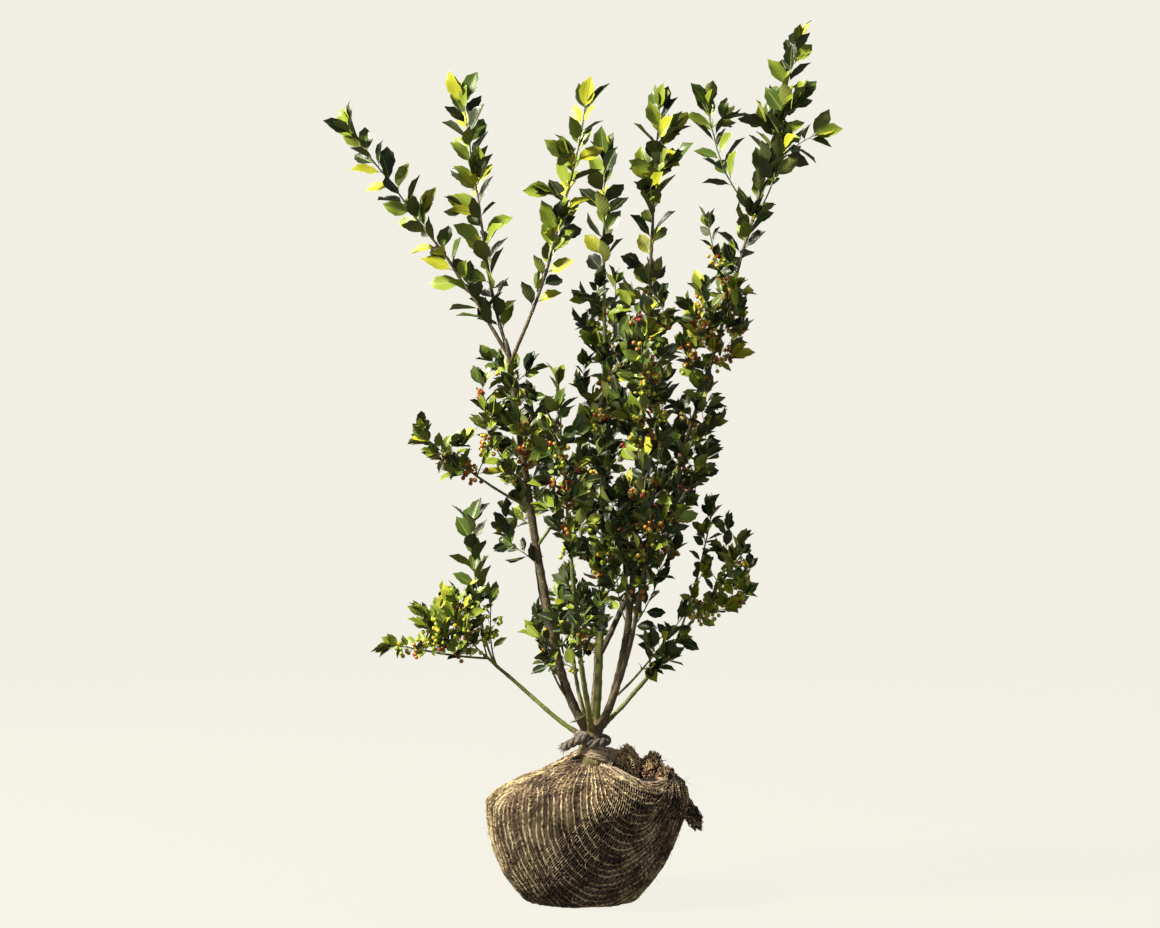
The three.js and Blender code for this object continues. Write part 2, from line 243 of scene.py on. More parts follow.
wood = {
    "crown": (22, 0, 294), "trunkRadius": 17, "stride": 10,
    # radius and height about the crown of the roots, from the flare up
    "trunk": [(0, -54), (31, -54), (29, -46), (26, -34), (22.5, -20), (19.5, -10), (17.5, 2), (13.5, 13),
              (0, 17)],
    "flare": 3.4, "flareLength": 26,
    "wander": 2.6, "nodeSpacing": 31, "nodeSwelling": 0.13,
    "sides": 4, "ring": 4,
    "barkRelief": 0.42, "greenRelief": 0.22,
    "slim": 0.88, "tipRadius": 0.8,
}

# The same growth rule and values as the CAD limbs, in mm and degrees, and reach is how far the wood
# goes on inside the leaves. A limb leaves at lean[0] from upright and settles to lean[1], while its
# bearing turns from bearing[0] to bearing[1], over about the length settle.
limbs = {
    "left_stem": dict(lean=(38, 9), bearing=(190, 206), settle=95, length=700, reach=716,
                      radius=(9.5, 5), green=False),
    "right_centre_stem": dict(lean=(38, 5), bearing=(338, 305), settle=115, length=880, reach=1106,
                              radius=(8.5, 3), green=False),
    "centre_stem": dict(lean=(7, 4), bearing=(40, 88), settle=200, length=860, reach=1022,
                        radius=(8, 3), green=True),
    "low_left_stem": dict(rise=-6, lean=(88, 49), bearing=(172, 177), settle=24, length=240, reach=240,
                          radius=(5, 3), green=True),
    "low_right_stem": dict(lean=(48, 37), bearing=(2, 12), settle=120, length=330, reach=416,
                           radius=(5, 2.6), green=True),
    "front_stem": dict(lean=(48, 11), bearing=(262, 250), settle=150, length=370, reach=655,
                       radius=(6, 3.5), green=True),
    "front_right_stem": dict(lean=(48, 11), bearing=(310, 302), settle=150, length=330, reach=560,
                             radius=(6, 3.5), green=False),
    "rear_stem": dict(lean=(48, 10), bearing=(88, 76), settle=150, length=600, reach=852,
                      radius=(7.5, 3.5), green=False),
    "rear_left_stem": dict(lean=(44, 12), bearing=(142, 128), settle=150, length=430, reach=660,
                           radius=(6.5, 3.5), green=False),
    "low_rear_bough": dict(lean=(58, 40), bearing=(108, 100), settle=120, length=230, reach=322,
                           radius=(5, 2.8), green=True),
    "right_stem": dict(source="centre_stem", at=135, lean=(27, 14), bearing=(6, 14), settle=420,
                       length=880, reach=1152, radius=(6, 2.6), green=False),
    "left_tip_bough": dict(source="left_stem", at=680, lean=(30, 50), bearing=(186, 182), settle=700,
                           length=110, reach=488, radius=(4, 3.2), green=False),
    "left_upright_bough": dict(source="left_stem", at=690, lean=(22, 13), bearing=(150, 124), settle=120,
                               length=90, reach=470, radius=(3.8, 3.2), green=False),
    "left_inner_bough": dict(source="left_stem", at=670, lean=(30, 9), bearing=(328, 322), settle=330,
                             length=150, reach=468, radius=(3.8, 3), green=False),
    "mid_left_branch": dict(source="left_stem", at=415, lean=(66, 50), bearing=(194, 184), settle=90,
                            length=105, reach=215, radius=(3, 2.2), green=True),
    "left_cross_branch": dict(source="left_stem", at=345, lean=(44, 36), bearing=(318, 330), settle=120,
                              length=100, reach=238, radius=(3.2, 2.4), green=True),
    "low_left_twig": dict(source="low_left_stem", at=226, lean=(88, 76), bearing=(188, 184), settle=90,
                          length=125, reach=170, radius=(2.4, 1.8), green=True),
    "low_left_sprig": dict(source="low_left_stem", at=210, lean=(30, 4), bearing=(165, 175), settle=60,
                           length=60, reach=256, radius=(2.4, 2), green=True),
    "low_right_twig": dict(source="low_right_stem", at=215, lean=(24, 14), bearing=(24, 34), settle=120,
                           length=120, reach=240, radius=(2.4, 2), green=True),
    "low_inner_twig": dict(source="left_stem", at=55, lean=(46, 20), bearing=(206, 216), settle=60,
                           length=70, reach=156, radius=(2.4, 2), green=True),
    "low_outer_twig": dict(source="right_centre_stem", at=70, lean=(54, 36), bearing=(330, 334), settle=80,
                           length=100, reach=206, radius=(2.6, 2), green=True),
}

# A leafy side shoot, which only the masses of leaves stand for in the CAD. dresses names the mass whose
# leaves it wears, and where on the shoot they start.
def sideShoot(source, at, lean, bearing, length, thick=1.7, settle=60, dresses=None):
    return dict(source=source, at=at, lean=lean, bearing=bearing, settle=settle, length=length, reach=length,
                radius=(thick, 0.9), dresses=dresses)


shoots = {
    "low_left_upper_shoot": sideShoot("low_left_stem", 222, (52, 34), (184, 176), 105, thick=1.8,
                                      dresses=("foliage_low_left", 24)),
    "low_left_inner_shoot": sideShoot("low_left_stem", 204, (30, -6), (186, 190), 125, thick=1.8, settle=40,
                                      dresses=("foliage_low_left", 34)),
    "low_left_middle_shoot": sideShoot("low_left_stem", 228, (18, 2), (200, 190), 110, thick=1.8, settle=50,
                                       dresses=("foliage_low_left", 30)),
    "low_left_outer_shoot": sideShoot("low_left_twig", 50, (46, 26), (178, 182), 90,
                                      dresses=("foliage_low_left", 20)),
    "low_centre_shoot": sideShoot("centre_stem", 190, (50, 18), (196, 204), 105,
                                  dresses=("foliage_low_front", 20)),
    "centre_right_shoot": sideShoot("centre_stem", 240, (54, 24), (338, 330), 110,
                                    dresses=("foliage_low_front", 24)),
    "centre_front_shoot": sideShoot("centre_stem", 205, (56, 26), (268, 262), 110,
                                    dresses=("foliage_low_front", 24)),
    "right_front_shoot": sideShoot("right_centre_stem", 225, (52, 26), (262, 270), 115,
                                   dresses=("foliage_low_front", 24)),
    "right_outer_shoot": sideShoot("right_centre_stem", 250, (56, 30), (346, 352), 115,
                                   dresses=("foliage_low_outer", 24)),
    "right_low_shoot": sideShoot("right_centre_stem", 190, (46, 18), (10, 20), 110,
                                 dresses=("foliage_low_outer", 20)),
    "right_inner_shoot": sideShoot("right_centre_stem", 205, (30, -6), (196, 190), 105,
                                   dresses=("foliage_low_front", 24)),
    "left_inner_shoot": sideShoot("left_stem", 160, (50, 14), (344, 350), 100,
                                  dresses=("foliage_low_inner", 24)),
    "front_low_shoot": sideShoot("front_stem", 175, (48, 12), (310, 320), 110,
                                 dresses=("foliage_low_front", 24)),
    "rear_low_shoot": sideShoot("rear_stem", 200, (48, 14), (170, 180), 110,
                                dresses=("foliage_low_rear", 24)),
    "tip_left_shoot": sideShoot("right_stem", 842, (58, 8), (176, 172), 215, thick=1.9, settle=75),
    "tip_right_shoot": sideShoot("right_stem", 830, (44, 4), (352, 356), 198, thick=1.8, settle=66),
    "mid_left_shoot": sideShoot("left_stem", 455, (62, 22), (176, 168), 130, thick=1.8, settle=50),
    "inner_right_shoot": sideShoot("right_stem", 690, (40, 6), (182, 186), 130, thick=1.8),
}
allLimbs = {**limbs, **shoots}


def heading(lean, bearing):
    across = math.sin(math.radians(lean))
    turn = math.radians(bearing)
    return Vector((across * math.cos(turn), across * math.sin(turn), math.cos(math.radians(lean))))


def alongLine(points, distance):
    place = max(0, min(distance / wood["stride"], len(points) - 1.001))
    i = int(place)
    return points[i].lerp(points[i + 1], place - i)


def growLimb(limb, known, seed):
    if "source" in limb:
        start = alongLine(known[limb["source"]], limb["at"])
    else:
        outward = heading(90, limb["bearing"][0]) * wood["trunkRadius"] * 0.3
        start = (Vector(wood["crown"]) + outward + up * limb.get("rise", 0)) * mm
    points = [start]
    stride = wood["stride"]
    drift = Vector()
    for i in range(round(limb["reach"] / stride)):
        along = i * stride
        young = math.exp(-(along + stride / 2) / limb["settle"])
        lean = limb["lean"][1] + (limb["lean"][0] - limb["lean"][1]) * young
        bearing = limb["bearing"][1] + (limb["bearing"][0] - limb["bearing"][1]) * young
        strength = min(1, along / 120) * wood["wander"] * mm
        slow = noise.noise_vector(Vector((seed * 7.3, along * 0.011, 0.5)))
        quick = noise.noise_vector(Vector((seed * 3.1, along * 0.037, 4.2)))
        sway = (slow + quick * 0.4) * strength
        points.append(points[-1] + heading(lean, bearing) * stride * mm + sway - drift)
        drift = sway
    return points


def limbRadius(limb, along):
    start, end = (r * wood["slim"] for r in limb["radius"])
    if along <= limb["length"]:
        return (start + (end - start) * along / limb["length"]) * mm
    share = (along - limb["length"]) / max(1, limb["reach"] - limb["length"])
    return (end + (wood["tipRadius"] - end) * share) * mm


grown = {}
for number, (name, limb) in enumerate(allLimbs.items()):
    grown[name] = growLimb(limb, grown, number + 1)


# A limb as a fine line with a swelling at each old leaf scar.
def fineLine(name, limb, start=0):
    points, radii = [], []
    rng = Random(name)
    scars = [start + wood["nodeSpacing"] * (k + rng.uniform(0.2, 0.8)) for k in range(60)]
    along = start
    while along < limb["reach"]:
        near = min(abs(along - scar) for scar in scars)
        swell = 1 + wood["nodeSwelling"] * math.exp(-(near / 4) ** 2)
        points.append(alongLine(grown[name], along))
        radii.append(limbRadius(limb, along) * swell)
        along += wood["ring"]
    return points, radii


# Holly bark: smooth, thin and grey-brown, with fine long cracks and pale corky dots that catch the light.
def makeBark(name, shades, dots, roughness):
    material, tree, surface = newMaterial(name, Roughness=roughness)
    place = addNode(tree, "TexCoord").outputs["Object"]
    drawn = addNode(tree, "Mapping", {"Vector": place, "Scale": (1, 1, 0.16)}).outputs["Vector"]
    streaks = addNode(tree, "TexNoise", {"Vector": drawn, "Scale": 330, "Detail": 6, "Roughness": 0.65})
    patches = addNode(tree, "TexNoise", {"Vector": place, "Scale": 38, "Detail": 3})
    both = addNode(tree, "Math", {0: streaks.outputs["Fac"], 1: patches.outputs["Fac"]}, operation="ADD")
    half = addNode(tree, "Math", {0: both.outputs[0], 1: 0.5}, operation="MULTIPLY")
    ramp = addNode(tree, "ValToRGB", {"Fac": half.outputs[0]}, stops=shades)
    cork = addNode(tree, "TexVoronoi", {"Vector": place, "Scale": 190, "Randomness": 1.0})
    isDot = addNode(tree, "MapRange", {"Value": cork.outputs["Distance"], "From Min": 0.16, "From Max": 0.26,
                                       "To Min": 1.0, "To Max": 0.0})
    colour = addNode(tree, "Mix", {0: isDot.outputs[0], 6: ramp.outputs["Color"], 7: linear(dots)},
                     data_type="RGBA")
    tree.links.new(colour.outputs[2], surface.inputs["Base Color"])
    height = addNode(tree, "Math", {0: streaks.outputs["Fac"], 1: isDot.outputs[0]}, operation="ADD")
    bump = addNode(tree, "Bump", {"Height": height.outputs[0], "Strength": 0.6, "Distance": 0.0007})
    tree.links.new(bump.outputs["Normal"], surface.inputs["Normal"])
    return material


barkMaterial = makeBark("greyBrownHollyBark", [(0.3, "#2A2219"), (0.48, "#574A36"), (0.66, "#857553")],
                        "#A39470", 0.75)
greenMaterial = makeBark("youngGreenHollyBark", [(0.32, "#3F4A1C"), (0.5, "#77803A"), (0.66, "#A3A455")],
                         "#B7AE78", 0.5)
collarMaterial = makeBark("mossyHollyRootCollar", [(0.34, "#362A17"), (0.5, "#6E6237"), (0.64, "#A39A55")],
                          "#B5A673", 0.8)


def ridges(depth):
    def height(p):
        fine = noise.noise(Vector((p.x * 330, p.y * 330, p.z * 46)))
        broad = noise.noise(Vector((p.x * 120, p.y * 120, p.z * 60)) + Vector((9, 2, 5)))
        return depth * mm * (fine + 0.7 * broad)
    return height


def makeStems():
    woody = {True: [], False: []}
    for name, limb in limbs.items():
        woody[limb["green"]].append(fineLine(name, limb, 0 if "source" in limb else 12))
    brown = drawLines("stems_brown", woody[False], wood["sides"], barkMaterial)
    green = drawLines("stems_green", woody[True], wood["sides"], greenMaterial)
    relieve(brown, ridges(wood["barkRelief"]))
    relieve(green, ridges(wood["greenRelief"]))
    finishPiece(brown, "bark", *[n for n, limb in limbs.items() if not limb["green"]])
    finishPiece(green, "green_bark", *[n for n, limb in limbs.items() if limb["green"]])


# The short trunk, spun from its section, and the foot of every stem, grown together into one skin.
def makeTrunk():
    bm = spun([(r * mm, h * mm) for r, h in wood["trunk"]], 32)
    bmesh.ops.translate(bm, verts=bm.verts, vec=Vector(wood["crown"]) * mm)
    feet = []
    for name, limb in limbs.items():
        if "source" in limb:
            continue
        points, radii = [], []
        for along in range(0, 66, 3):
            flare = wood["flare"] * math.exp(-along / wood["flareLength"]) - 0.9 * along / 66
            points.append(alongLine(grown[name], along))
            radii.append(limbRadius(limb, along) + flare * mm)
        feet.append((points, radii))
    stubs = drawLines("trunk_feet", feet, 4)
    bm.from_mesh(stubs.data)
    bpy.data.objects.remove(stubs)
    bmesh.ops.recalc_face_normals(bm, faces=bm.faces)
    trunk = newObject("trunk", meshFrom(bm, "trunk"), barkMaterial, collarMaterial)
    skin = trunk.modifiers.new("skin", "REMESH")
    skin.mode = "VOXEL"
    skin.voxel_size = 1.7 * mm
    soften = trunk.modifiers.new("soften", "SMOOTH")
    soften.iterations = 4
    applyModifiers(trunk)
    trunk.data.shade_smooth()
    relieve(trunk, ridges(0.95))
    feetGreen = [(point, limbs[name]["green"]) for name in limbs if "source" not in limbs[name]
                 for point in grown[name][1:8]]
    for face in trunk.data.polygons:
        place = face.center + noise.noise_vector(face.center * 160) * 3 * mm
        nearest = min(feetGreen, key=lambda foot: (foot[0] - place).length_squared)
        face.material_index = int(nearest[1])
    finishPiece(trunk, "bark", "root_crown")


makeStems()
makeTrunk()
report("trunk and stems")

# kind gives the leaf lengths, and the splay of the leaves on a limb: shoot for longer leaves, bush for
# shorter.
# tints names a mixture below, fruit is how often a leaf has berries, gap is the spacing of the twig
# ends in mm, size makes the leaves smaller, and on names a limb that wears the leaves itself, with where
# they start on it and may stop.
foliage = {
    "foliage_left_tip": dict(kind="shoot", tints="top", fruit=0, gap=52, on=("left_tip_bough", 58)),
    "foliage_left_upright": dict(kind="shoot", tints="top", fruit=0, gap=48, on=("left_upright_bough", 40)),
    "foliage_left_inner": dict(kind="shoot", tints="bright", fruit=0, gap=56, on=("left_inner_bough", 108)),
    "foliage_left_column": dict(kind="bush", tints="upper", fruit=0.7, gap=41),
    "foliage_left_low": dict(kind="bush", tints="inside", fruit=0, gap=44, on=("mid_left_shoot", 40)),
    "foliage_mid_left": dict(kind="bush", tints="upper", fruit=0.8, gap=31, on=("mid_left_branch", 110)),
    "foliage_low_left": dict(kind="bush", tints="low", fruit=1.3, gap=24, size=0.82),
    "foliage_low_left_tip": dict(kind="bush", tints="low", fruit=0.5, gap=26, size=0.86,
                                 on=("low_left_twig", 96)),
    "foliage_low_left_sprig": dict(kind="shoot", tints="inside", fruit=0, gap=60,
                                   on=("low_left_sprig", 130)),
    "foliage_centre_column": dict(kind="bush", tints="inside", fruit=0.6, gap=40),
    "foliage_centre_tip": dict(kind="shoot", tints="top", fruit=0, gap=46, on=("centre_stem", 820)),
    "foliage_right_centre_column": dict(kind="bush", tints="middle", fruit=0.9, gap=37),
    "foliage_right_centre_tip": dict(kind="shoot", tints="top", fruit=0, gap=50,
                                     on=("right_centre_stem", 850)),
    "foliage_core": dict(kind="bush", tints="middle", fruit=0.7, gap=38, size=0.92),
    "foliage_front_column": dict(kind="bush", tints="middle", fruit=0.7, gap=38, on=("front_stem", 400)),
    "foliage_front_right": dict(kind="bush", tints="middle", fruit=0.7, gap=38,
                                on=("front_right_stem", 380)),
    "foliage_cross": dict(kind="bush", tints="inside", fruit=0.2, gap=50, on=("left_cross_branch", 90)),
    "foliage_rear_column": dict(kind="bush", tints="inside", fruit=0.35, gap=44),
    "foliage_rear_top": dict(kind="bush", tints="upper", fruit=0.1, gap=42, on=("rear_stem", 590)),
    "foliage_rear_left": dict(kind="bush", tints="middle", fruit=0.2, gap=44, on=("rear_left_stem", 450)),
    "foliage_right_low": dict(kind="bush", tints="inside", fruit=0.3, gap=35),
    "foliage_right_column": dict(kind="bush", tints="upper", fruit=0.95, gap=36,
                                 on=("inner_right_shoot", 40)),
    "foliage_right_tip": dict(kind="shoot", tints="upper", fruit=0.1, gap=52, on=("right_stem", 750, 905)),
    "foliage_right_top": dict(kind="shoot", tints="top", fruit=0, gap=44, on=("right_stem", 905)),
    "foliage_low_right": dict(kind="bush", tints="low", fruit=1.1, gap=37, size=0.8,
                              on=("low_right_stem", 290)),
    "foliage_low_right_sprig": dict(kind="bush", tints="inside", fruit=0.1, gap=46, size=0.86,
                                    on=("low_right_twig", 130)),
    "foliage_low_inner": dict(kind="bush", tints="inside", fruit=0.1, gap=33, on=("low_inner_twig", 70)),
    "foliage_low_outer": dict(kind="bush", tints="middle", fruit=0, gap=31, on=("low_outer_twig", 90)),
    "foliage_low_front": dict(kind="bush", tints="inside", fruit=0.1, gap=34, size=0.86),
    "foliage_low_rear": dict(kind="bush", tints="inside", fruit=0.2, gap=42, on=("low_rear_bough", 220)),
    "foliage_right_tip_left": dict(kind="shoot", tints="upper", fruit=0, gap=58, on=("tip_left_shoot", 62)),
    "foliage_right_tip_right": dict(kind="shoot", tints="upper", fruit=0, gap=58,
                                    on=("tip_right_shoot", 62)),
}

# Shares of deep, mid, fresh and sunlit leaves in a spray, and of lime, yellow, orange and red berries.
# The sunlit tint is painted light and the deep tint partly painted shade, so top sprays take more sunlit
# leaves and inner sprays more deep ones.
tintShares = {
    "top": (0.32, 0.20, 0.20, 0.28),
    "bright": (0.22, 0.16, 0.24, 0.38),
    "upper": (0.36, 0.32, 0.21, 0.11),
    "middle": (0.46, 0.35, 0.15, 0.04),
    "inside": (0.50, 0.35, 0.12, 0.03),
    "low": (0.24, 0.34, 0.30, 0.12),
}
berryShares = {
    "top": (0.1, 0.3, 0.4, 0.2), "bright": (0.1, 0.3, 0.4, 0.2), "upper": (0.16, 0.32, 0.38, 0.14),
    "middle": (0.28, 0.28, 0.30, 0.14), "inside": (0.34, 0.26, 0.28, 0.12), "low": (0.66, 0.24, 0.08, 0.02),
}
tintNames = ("deep", "mid", "fresh", "paintedSunlit")
berryNames = ("lime", "yellow", "orange", "red")

twig = {"step": 8, "least": 22, "most": 150, "baseRadius": 1.15, "tipRadius": 0.6, "lift": 1.3, "margin": 13}
leaf = {
    "variants": 6, "ratio": 0.54, "bushLength": (28, 41), "shootLength": (42, 56), "internode": (8.0, 12.0),
    "turn": 137.5, "bushSplay": (66, 34), "shootSplay": (48, 26), "tipLeaves": 5, "lightPull": 0.35,
    "sunnyPull": 1.5, "limbFruit": 0.6, "stations": 7,
}
lightFrom = Vector((-0.5, -0.5, 0.7)).normalized()
litSide = Vector((-0.50, -0.78, 0.34))

twigs = []       # lines of points and radii
leaves = {name: [] for name in tintNames}     # placings
berries = {name: [] for name in berryNames}
wooden = {"place": [], "ahead": [], "thick": []}


def addWood(points, radii):
    for i in range(len(points) - 1):
        wooden["place"].append(points[i])
        wooden["ahead"].append((points[i + 1] - points[i]).normalized())
        wooden["thick"].append(radii[i])


def massShape(name):
    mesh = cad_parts[name].data
    return BVHTree.FromPolygons([v.co for v in mesh.vertices], [p.vertices for p in mesh.polygons])


def isInside(shape, point, margin):
    place, normal, _, distance = shape.find_nearest(point)
    return (point - place).dot(normal) < 0 and distance > margin


# Seeded places well inside a mass, no two closer than gap.
def twigEnds(name, gap, rng):
    shape = massShape(name)
    low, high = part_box(name)
    room = high - low
    margin = min(twig["margin"] * mm, min(room) * 0.2)
    tries = int(60 * room.x * room.y * room.z / (gap * mm) ** 3) + 40
    ends = []
    for _ in range(tries):
        place = low + Vector([side * rng.random() for side in room])
        if isInside(shape, place, margin) and all((place - end).length > gap * mm for end in ends):
            ends.append(place)
    return sorted(ends, key=lambda end: end.z)


# Where on the wood a twig to this end springs from: near, and below it.
def springPoint(end):
    reach = np.array(end) - np.array(wooden["place"])
    far = np.linalg.norm(reach, axis=1) + 1e-9
    flat = 1 - reach[:, 2] / far
    cost = far * (1 + twig["lift"] * flat ** 2)
    return int(np.argmin(cost))


def sideways(direction, rng):
    across = direction.orthogonal().normalized()
    across.rotate(Matrix.Rotation(rng.uniform(0, math.tau), 3, direction))
    return across


def pick(shares, rng):
    return rng.choices(range(len(shares)), weights=shares)[0]


def placeLeaf(base, ahead, outward, splay, size, tints, rng):
    bend = math.radians(splay)
    way = (ahead * math.cos(bend) + outward * math.sin(bend)).normalized()
    way = (way + scatter(rng, 0.16) + up * 0.08).normalized()
    shares = list(tintShares[tints])
    # Painted light and shade: the sunlit tint goes more to leaves facing the key light on the lit side, the
    # deep tint more to those turned from it.
    facing = (lightFrom - way * lightFrom.dot(way)).length_squared
    lit = facing * (0.35 + max(0, outward.dot(litSide)))
    shares[3] *= 2.3 * lit
    shares[0] *= 1.3 - 0.6 * lit
    tone = tintNames[pick(shares, rng)]
    sunny = tone in ("fresh", "paintedSunlit")
    pull = litSide * leaf["sunnyPull"] if sunny else lightFrom * leaf["lightPull"]
    face = ahead * 0.35 + up * 0.20 + pull
    face += scatter(rng, 0.42)
    face = (face - way * face.dot(way)).normalized()
    side = face.cross(way)
    turned = Matrix((way * size, side * size, face * size)).transposed()
    leaves[tone].append((rng.randrange(leaf["variants"]), turned, base))


def placeBerries(base, outward, ahead, tints, rng):
    tone = pick(berryShares[tints], rng)
    for _ in range(rng.choice((3, 4, 5, 5, 6, 7))):
        shift = scatter(rng, 0.6)
        way = (outward * 0.9 + ahead * 0.25 + shift).normalized()
        size = rng.uniform(3.5, 4.3) * mm
        side = way.orthogonal().normalized()
        turned = Matrix((side * size, way.cross(side) * size, way * size)).transposed()
        shade = berryNames[max(0, min(3, tone + rng.choice((-1, 0, 0, 0, 1))))]
        berries[shade].append((0, turned, base + way * size * rng.uniform(2.2, 5.0)))


# Leaves in a spiral along a line of wood, closing up and getting smaller at its tip.
def clothe(points, radii, start, tints, fruit, rng, step, splays, lengths):
    total = step * (len(points) - 1)
    turn = rng.uniform(0, 360)
    along = start
    while along < total - 3:
        i = min(int(along / step), len(points) - 2)
        ahead = (points[i + 1] - points[i]).normalized()
        base = points[i].lerp(points[i + 1], along / step - i)
        outward = ahead.orthogonal().normalized()
        outward.rotate(Matrix.Rotation(math.radians(turn), 3, ahead))
        toTip = min(1, (total - along) / 55)
        splay = splays[1] + (splays[0] - splays[1]) * toTip + rng.uniform(-13, 13)
        size = rng.uniform(*lengths) * (0.78 + 0.22 * toTip) * mm
        fruits = fruit and rng.random() < fruit * toTip
        if not fruits or rng.random() < 0.6:
            placeLeaf(base + outward * radii[i] * 0.6, ahead, outward, splay, size, tints, rng)
        if fruits:
            placeBerries(base, outward, ahead, tints, rng)
        turn += leaf["turn"] + rng.uniform(-14, 14)
        along += rng.uniform(*leaf["internode"])
    ahead = (points[-1] - points[-2]).normalized()
    for _ in range(leaf["tipLeaves"]):
        size = rng.uniform(lengths[0] * 0.85, lengths[1]) * mm
        placeLeaf(points[-1], ahead, sideways(ahead, rng), rng.uniform(12, 38), size, tints, rng)


def growTwig(end, rng):
    at = springPoint(end)
    base, ahead, thick = wooden["place"][at], wooden["ahead"][at], wooden["thick"][at]
    reach = end - base
    if reach.length < twig["least"] * mm or reach.length > twig["most"] * mm:
        return None
    first = reach * 0.62 + ahead * reach.length * 0.22 - up * reach.z * 0.2
    control = base + first * 0.62
    count = max(3, round(reach.length / mm / twig["step"]))
    seed = rng.uniform(0, 100)
    points, radii = [], []
    for k in range(count + 1):
        t = k / count
        place = base * (1 - t) ** 2 + control * 2 * t * (1 - t) + end * t * t
        sway = noise.noise_vector(Vector((seed, t * reach.length * 30, 0)))
        place += sway * 1.6 * mm * math.sin(math.pi * t)
        points.append(place)
        start = min(thick * 0.75, (twig["baseRadius"] + reach.length / mm * 0.006) * mm)
        radii.append(start + (twig["tipRadius"] * mm - start) * t)
    return points, radii


def leafLengths(mass):
    return [length * mass.get("size", 1) for length in leaf[mass["kind"] + "Length"]]


# The leaves on a limb itself, from start to stop mm along it.
def clotheLimb(mass, rng, source, start, stop=None):
    reach = range(start, int(stop or allLimbs[source]["reach"]), wood["stride"])
    points = [alongLine(grown[source], a) for a in reach]
    radii = [limbRadius(allLimbs[source], a) for a in reach]
    fruit = mass["fruit"] * leaf["limbFruit"]
    clothe(points, radii, 0, mass["tints"], fruit, rng, wood["stride"], leaf[mass["kind"] + "Splay"],
           leafLengths(mass))


def leafOut():
    for name, limb in allLimbs.items():
        reach = range(0, int(limb["reach"]), wood["stride"])
        points = [alongLine(grown[name], a) for a in reach]
        radii = [limbRadius(limb, a) for a in reach]
        if name in shoots:
            twigs.append((points, radii))
        addWood(points, radii)
    for name, limb in shoots.items():
        if limb["dresses"]:
            massName, start = limb["dresses"]
            clotheLimb(foliage[massName], Random("clothe " + name), name, start)
    # one leaf of its own, low between the stems
    foot = Vector(wood["crown"]) * mm + Vector((-10, -16, 36)) * mm
    leaves["deep"].append((0, Matrix.Rotation(math.radians(150), 3, "Y") * 0.030, foot))
    for name in massNames:
        mass = foliage[name]
        if "on" in mass:
            clotheLimb(mass, Random("clothe " + name), *mass["on"])
        rng = Random("twigs " + name)
        for end in twigEnds(name, mass["gap"], rng):
            grownTwig = growTwig(end, rng)
            if grownTwig is None:
                continue
            points, radii = grownTwig
            twigs.append(grownTwig)
            addWood(points, radii)
            length = (points[-1] - points[0]).length / mm
            step = length / (len(points) - 1)
            bare = 0.16 * length if length > 45 else 4
            clothe(points, radii, bare, mass["tints"], mass["fruit"], rng, step, leaf["bushSplay"],
                   leafLengths(mass))


leafOut()
leafCount = sum(map(len, leaves.values()))
berryCount = sum(map(len, berries.values()))
report(f"{len(twigs)} twigs, {leafCount} leaves, {berryCount} berries")


# A small shape as arrays, ready to be copied many times.
def shapeArrays(bm):
    mesh = meshFrom(bm, "shape")
    places = np.array([v.co for v in mesh.vertices])
    corners = np.array([loop.vertex_index for loop in mesh.loops])
    sizes = np.array([len(p.vertices) for p in mesh.polygons])
    slots = np.array([p.material_index for p in mesh.polygons])
    layer = mesh.uv_layers.active
    uvs = np.array([c.uv for c in layer.data]) if layer else np.zeros((len(corners), 2))
    bpy.data.meshes.remove(mesh)
    return places, corners, sizes, slots, uvs


def joinCopies(name, shapes, placings, *materials):
    allPlaces, allCorners, allSizes, allSlots, allUvs = [], [], [], [], []
    used = 0
    for index, (places, corners, sizes, slots, uvs) in enumerate(shapes):
        mine = [p for p in placings if p[0] == index]
        if not mine:
            continue
        turns = np.array([[list(row) for row in p[1]] for p in mine])
        moves = np.array([list(p[2]) for p in mine])
        spots = np.einsum("kij,nj->kni", turns, places) + moves[:, None, :]
        shift = np.arange(len(mine)) * len(places) + used
        allPlaces.append(spots.reshape(-1, 3))
        allCorners.append((corners[None, :] + shift[:, None]).ravel())
        allSizes.append(np.tile(sizes, len(mine)))
        allSlots.append(np.tile(slots, len(mine)))
        allUvs.append(np.tile(uvs, (len(mine), 1)))
        used += len(mine) * len(places)
    joined = (allPlaces, allCorners, allSizes, allSlots, allUvs)
    places, corners, sizes, slots, uvs = map(np.concatenate, joined)
    mesh = bpy.data.meshes.new(name)
    mesh.vertices.add(len(places))
    mesh.vertices.foreach_set("co", places.ravel())
    mesh.loops.add(len(corners))
    mesh.loops.foreach_set("vertex_index", corners)
    mesh.polygons.add(len(sizes))
    mesh.polygons.foreach_set("loop_start", np.concatenate(([0], np.cumsum(sizes)[:-1])))
    mesh.polygons.foreach_set("material_index", slots)
    mesh.update(calc_edges=True)
    mesh.uv_layers.new(name="along").data.foreach_set("uv", uvs.ravel())
    mesh.validate()
    mesh.shade_smooth()
    return newObject(name, mesh, *materials)


def addCone(bm, segments, radius1, radius2, depth, capped):
    made = bmesh.ops.create_cone(bm, segments=segments, radius1=radius1, radius2=radius2, depth=depth,
                                 cap_ends=capped)
    return made["verts"]


